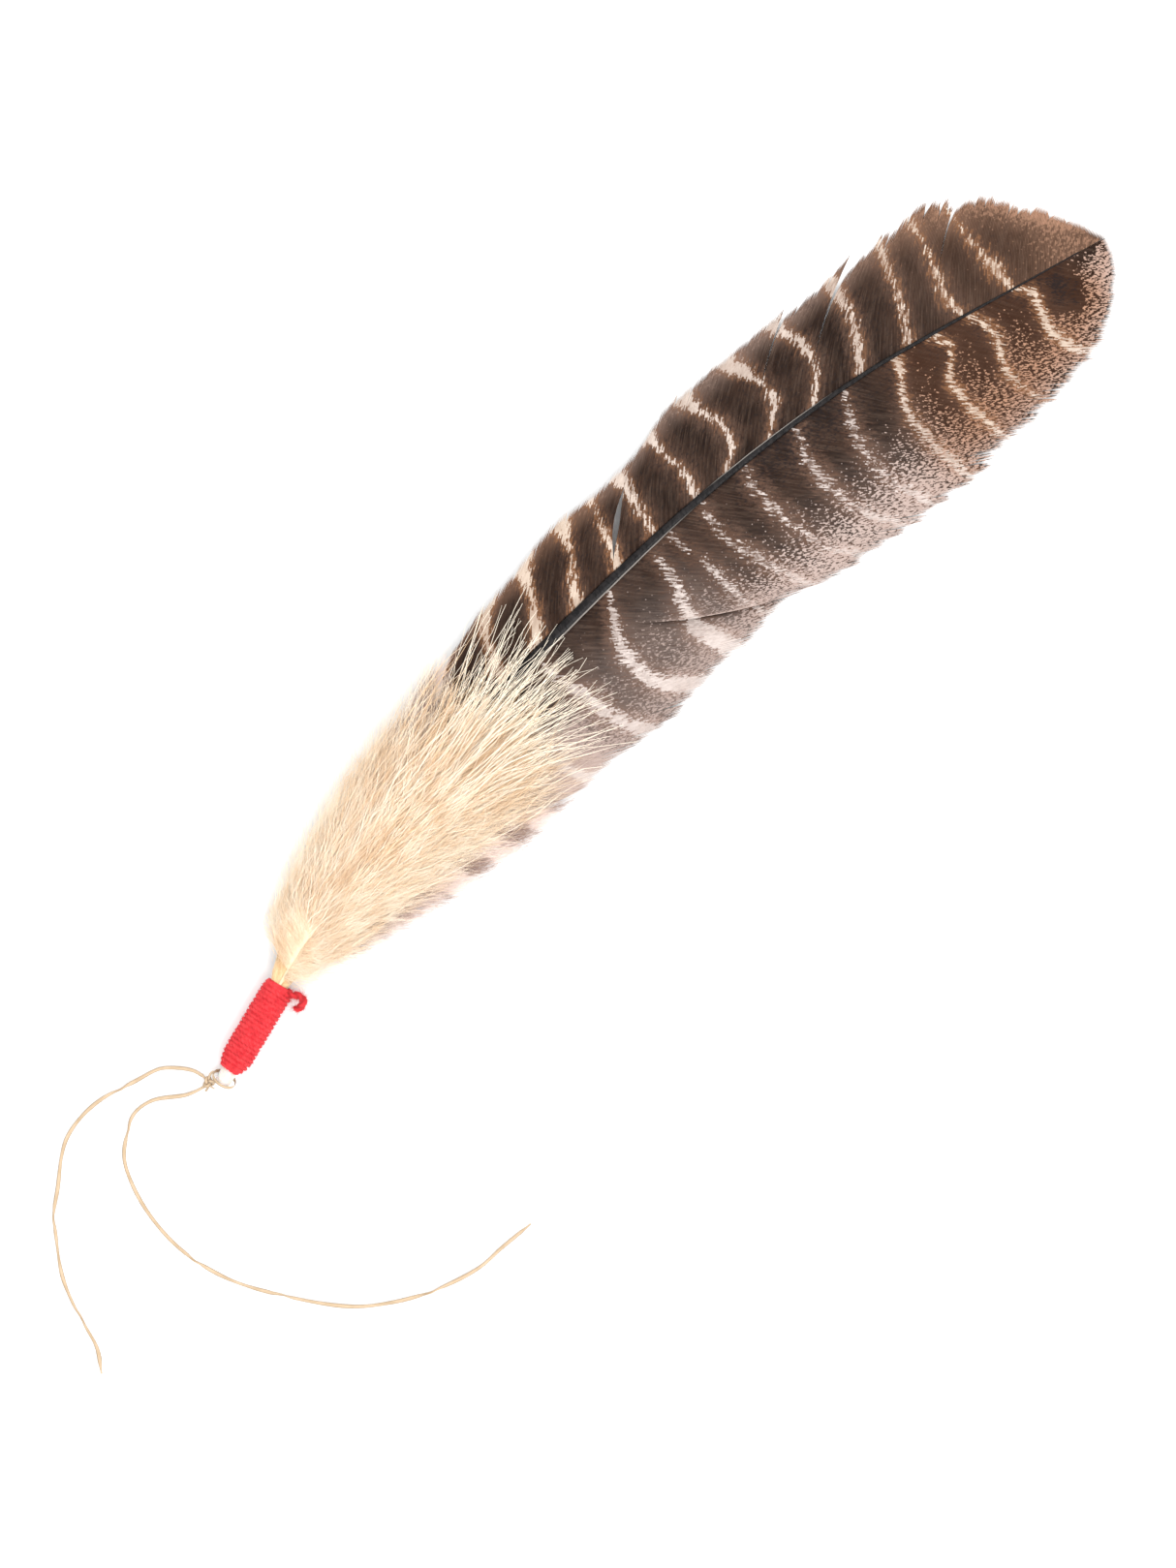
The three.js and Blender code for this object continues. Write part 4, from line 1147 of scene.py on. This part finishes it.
def plume():
    cream = down_finish("cream_down", bare(255, 243, 224), bare(249, 226, 197), bare(230, 198, 160))
    plume_body("plume_down_left_tufts", ["plume_down_left"], -1.0, 0.05, 3500, 120, cream)
    plume_body("plume_down_right_tufts", ["plume_down_right"], -0.05, 1.0, 3500, 120, cream)
    plume_body("plume_down_crown", [], -0.85, 0.85, 3500, 150, cream)
    plume_fluff(cream)
    plume_fringe(cream)
    plume_wisps(cream)
    plume_skirt(cream)
    plume_halo(cream)
    plume_quill()
    plume_base()


def downy_base(name, side, spec, count, material):
    """The turkey feather's own loose barbs below its web: wavy and soft, faintly barred."""
    rng = random_for(name)
    root, edge = spec
    steps = 14
    # A hair under the even spacing, so that rounding can't lose the last barb.
    flat, _, _ = barb_lines(name, side, root, edge, (root[1] - root[0]) / count * 0.9999, steps)
    flat = flat[:count]
    count = len(flat)
    t = np.linspace(0, 1, steps)[None]
    where = np.clip(rng.uniform(0.72, 1.04, count)[:, None] * t, 0, 1) * (steps - 1)
    low = np.clip(where.astype(int), 0, steps - 2)
    part = (where - low)[..., None]
    rows = np.arange(count)[:, None]
    line = flat[rows, low] * (1 - part) + flat[rows, low + 1] * part

    def sway(size):
        lean = size * rng.normal(0, 1, (count, 1)) * ramp(t, 0, 0.8)
        return lean + 0.5 * size * ripple(rng, t, count, 1, 2.6, 2 * math.pi) * ramp(t, 0, 0.5)

    x, y = line[..., 0] + sway(0.9), line[..., 1] + sway(1.2)
    z = web_height(x, y) + rng.uniform(-0.3, 1.3, (count, 1)) * ramp(t, 0, 0.3)
    phase, gap, _ = bar_fields(side, x, y)
    bar = np.abs((phase + 0.5) % 1 - 0.5) * gap
    tone = ramp(bar, 4.2, 2.0) * 0.8 + rng.normal(0.06, 0.12, (count, 1)) + 0.3 * ramp(y, 70, 45)
    half = rng.uniform(0.05, 0.1, count)
    hairs(name + "_barbs", np.stack([x, y, np.maximum(z, 0.12)], axis=2), tapering(t, half), material,
          "grey_down", [name], tone=np.clip(tone, 0, 1), along=0.5 * t)


def downy_bases():
    grey = down_finish("grey_down", bare(252, 236, 228), bare(244, 224, 214), bare(178, 148, 135))
    downy_base("downy_base_left", -1, DOWNY_LEFT, 2200, grey)
    downy_base("downy_base_right", 1, DOWNY_RIGHT, 2200, grey)


# ---------------------------------------------------------------- yarn

PLY = {"yarn": 0.56, "offset": 0.17, "radius": 0.40, "lay": 2.3, "step": 0.3}


def yarn_finish():
    finish = Finish("red_yarn", Roughness=0.9, Specular_IOR_Level=0.15, Sheen_Weight=0.35,
                    Sheen_Roughness=0.5)
    finish.set("Sheen Tint", srgb(255, 150, 150))
    weave = finish.vector("weave")
    fibre = finish.woven(weave, (7, 1.6, 1), 3)
    cloud = finish.noise(finish.place(), 700, 2)
    body = finish.mix(finish.ramp(cloud, 0.3, 0.7), srgb(250, 70, 76), srgb(230, 48, 58))
    finish.surface(finish.mix(finish.ramp(fibre, 0.5, 0.8, 0, 0.5), body, srgb(255, 122, 122)), fibre,
                   (0.8, 1.0), 0.7, 0.12)
    return finish.material


def plied(line, outwards, size=1.0, floor=TABLE_CLEAR):
    """Two plies twisted about a yarn's middle line; outwards points away from what it is wound on."""
    tangent = unit(np.gradient(line, axis=0))
    outwards = unit(outwards - (outwards * tangent).sum(1, keepdims=True) * tangent)
    beside = np.cross(tangent, outwards)
    run = run_along(line)
    section = circle(7)
    radius = size * PLY["radius"]
    parts, weaves = [], []
    for ply in range(2):
        angle = (2 * math.pi * run / (size * PLY["lay"]) + ply * math.pi)[:, None]
        middle = line + size * PLY["offset"] * (np.cos(angle) * outwards + np.sin(angle) * beside)
        points, faces = swept(middle[None], (radius * beside)[None], (radius * outwards)[None], section)
        points[:, 2] = np.maximum(points[:, 2], floor)
        parts.append((points, faces))
        around, far = np.tile(np.linspace(0, 2, len(section)), len(line)), np.repeat(run, len(section))
        weaves.append(np.stack([around + far * 0.5, far, 0 * around + ply], axis=1))
    return joined(*parts), np.concatenate(weaves)


def fuzz(rng, line, outwards, count, reach=(0.3, 1.1)):
    """Fine loose fibres that stand off a yarn."""
    pick = rng.integers(1, len(line) - 1, count)
    along, out = unit(line[pick + 1] - line[pick]), unit(outwards[pick])
    beside = np.cross(along, out)
    start = line[pick] + out * rng.uniform(0.2, 0.5, (count, 1)) + beside * rng.uniform(-0.4, 0.4, (count, 1))
    way = unit(out * rng.uniform(0.2, 1, (count, 1)) + beside * rng.normal(0, 0.8, (count, 1))
               + along * rng.normal(0, 0.9, (count, 1)))
    length = rng.uniform(*reach, (count, 1))[:, None]
    t = np.linspace(0, 1, 5)[None, :, None]
    droop = along * rng.normal(0, 0.35, (count, 1))
    paths = start[:, None] + way[:, None] * length * t + (droop - 0.25 * out)[:, None] * length * t ** 2
    paths[..., 2] = np.maximum(paths[..., 2], TABLE_CLEAR)
    _, side, lift = frames(paths)
    half = (rng.uniform(0.014, 0.028, count)[:, None] * np.array([1, 1, 0.9, 0.7, 0.4])[None])[..., None]
    points, faces = swept(paths, side * half, lift * half, HAIR_SECTION)
    return (points, faces), np.zeros((len(points), 3))


def handle_yarn(material):
    """One yarn wound round a plain core, closer in at both ends, with loose fibres."""
    rng = random_for("yarn")
    along, right = handle_frame()
    turns = HANDLE["turns"]
    count = int(turns * 2 * math.pi * 3.5 / PLY["step"])
    turn = np.linspace(0, turns, count)
    angle = 2 * math.pi * turn + 0.6
    pitch = (HANDLE["length"] - 2 * PLY["yarn"]) / turns
    place = (turn - turns / 2) * pitch + wobble(rng, turn, 1.7, 0.10)
    radius = HANDLE["radius"] - PLY["yarn"] + wobble(rng, turn, 0.9, 0.05)
    radius = radius - 1.35 * np.maximum(0, 1 - turn / 4.2) ** 2
    radius = radius - 0.7 * np.maximum(0, 1 - (turns - turn) / 1.8) ** 2
    outwards = np.cos(angle)[:, None] * right + np.sin(angle)[:, None] * UP
    line = along * place[:, None] + outwards * radius[:, None] + UP * HANDLE["height"]
    shape, weave = plied(line, outwards)
    loose, loose_weave = fuzz(rng, line, outwards, 2600)
    end = HANDLE["length"] / 2 - 0.4
    profile = [(2.2, -end), (2.4, -end), (2.9, 1.4 - end), (3.4, 3.2 - end), (3.62, 5.0 - end),
               (3.62, end - 0.8), (3.4, end), (3.2, end), (3.2, 5.0 - end)]
    core = turned_profile(profile, 36, HANDLE["height"])[:2]
    shapes = [(p, outward(p, f)) for p, f in (shape, loose, core)]
    weave = np.concatenate([weave, loose_weave, np.zeros((len(core[0]), 3))])
    piece("yarn_handle", joined(*shapes), material, "red_yarn", ["yarn_winding"], weave=weave)


def yarn_tail(material):
    """The yarn's end, turned round in a small hook, with longer loose fibres."""
    rng = random_for("yarn_tail")
    count = 70
    line = route([(-0.6, 11.4, 5.9), (0.9, 12.5, 5.8)] + YARN_TAIL[1:], count) - [0.5, 0.3, 0]
    line = line + np.stack([wobble(rng, np.arange(count), 25, 0.06) for _ in range(3)], axis=1)
    outwards = np.tile(UP, (count, 1))
    made = [plied(line, outwards, 1.8), fuzz(rng, line, outwards, 900, (0.9, 2.2)),
            fuzz(rng, line, -outwards, 300, (0.8, 1.6))]
    shapes = [(p, outward(p, f)) for (p, f), _ in made]
    piece("yarn_tail_loop", joined(*shapes), material, "red_yarn", ["yarn_tail"],
          weave=np.concatenate([weave for _, weave in made]))


# ---------------------------------------------------------------- raffia loop and knot


def raffia_loop(material):
    """Two turns of the strip round the quill's end, leaning so that their top passes over its rim."""
    along, right = handle_frame()
    angle = np.linspace(-0.4, 4 * math.pi - 0.2, 150)
    swell = np.sin(angle * 0.5)
    r = RAFFIA_LOOP["radius"] - 0.05 + 0.10 * swell
    lean = RAFFIA_LOOP["lean"]
    rising = UP * math.cos(lean) - along * math.sin(lean)
    ring = np.cos(angle)[:, None] * right + np.sin(angle)[:, None] * rising
    line = along * RAFFIA_LOOP["along"] + ring * r[:, None] + UP * CALAMUS["height"]
    line = line + along * (0.14 * swell)[:, None]
    line[:, 2] = np.maximum(line[:, 2], 0.25)
    _, side, lift = frames(line[None], up=tuple(along))
    section = np.array(STRIP)
    half = 0.3
    width = half * (1 + 0.15 * np.sin(angle * 3))
    shape = swept(line[None], lift * width[None, :, None], side * 0.16, section)
    across = np.tile(section[:, 0] * half, len(line))
    weave = np.stack([across, np.repeat(run_along(line), len(section)), np.zeros(len(across))], 1)
    piece("raffia_loop_strip", shape, material, "raffia", ["raffia_loop"], weave=weave,
          edge=np.tile(np.abs(section[:, 0]), len(line)))


def raffia_knot(material):
    """An overhand knot pulled tight, with strips to the loop and to both strands, and two cut stubs."""
    rng = random_for("raffia_knot")
    a = np.linspace(0, 2 * math.pi, 150)
    knot = KNOT_SIZE * np.stack([np.sin(a) + 2 * np.sin(2 * a), np.cos(a) - 2 * np.cos(2 * a),
                                 -1.1 * np.sin(3 * a)], axis=1)
    knot = knot * [0.62, 0.7, 0.75] + np.array(RAFFIA_KNOT)
    shapes, weaves, edges = [], [], []
    for line, width in [(knot, 0.75)] + [(route(points, count), width) for points, count, width in KNOT_ENDS]:
        run = np.linspace(0, length_of(line), len(line))
        shape, weave, edge = strip(line, wobble(rng, run, 6, 0.6), np.full(len(line), width), 0.1)
        shape[0][:, 2] = np.maximum(shape[0][:, 2], TABLE_CLEAR)
        shapes.append((shape[0], outward(*shape)))
        weaves.append(weave)
        edges.append(edge)
    piece("raffia_knot_tied", joined(*shapes), material, "raffia", ["raffia_knot"],
          weave=np.concatenate(weaves),
          edge=np.concatenate(edges))


# ---------------------------------------------------------------- the whole object

camera()
raffia = raffia_finish()
raffia_strand("raffia_strand_left", STRAND_LEFT, (0.22, 0.6, 0.85), raffia)
raffia_strand("raffia_strand_right", STRAND_RIGHT, (0.15, 0.4, 0.55, 0.8), raffia)
raffia_loop(raffia)
raffia_knot(raffia)
red = yarn_finish()
handle_yarn(red)
yarn_tail(red)
vanes()
downy_bases()
plume()
rachis()
calamus()
pulp()
studio()
table()
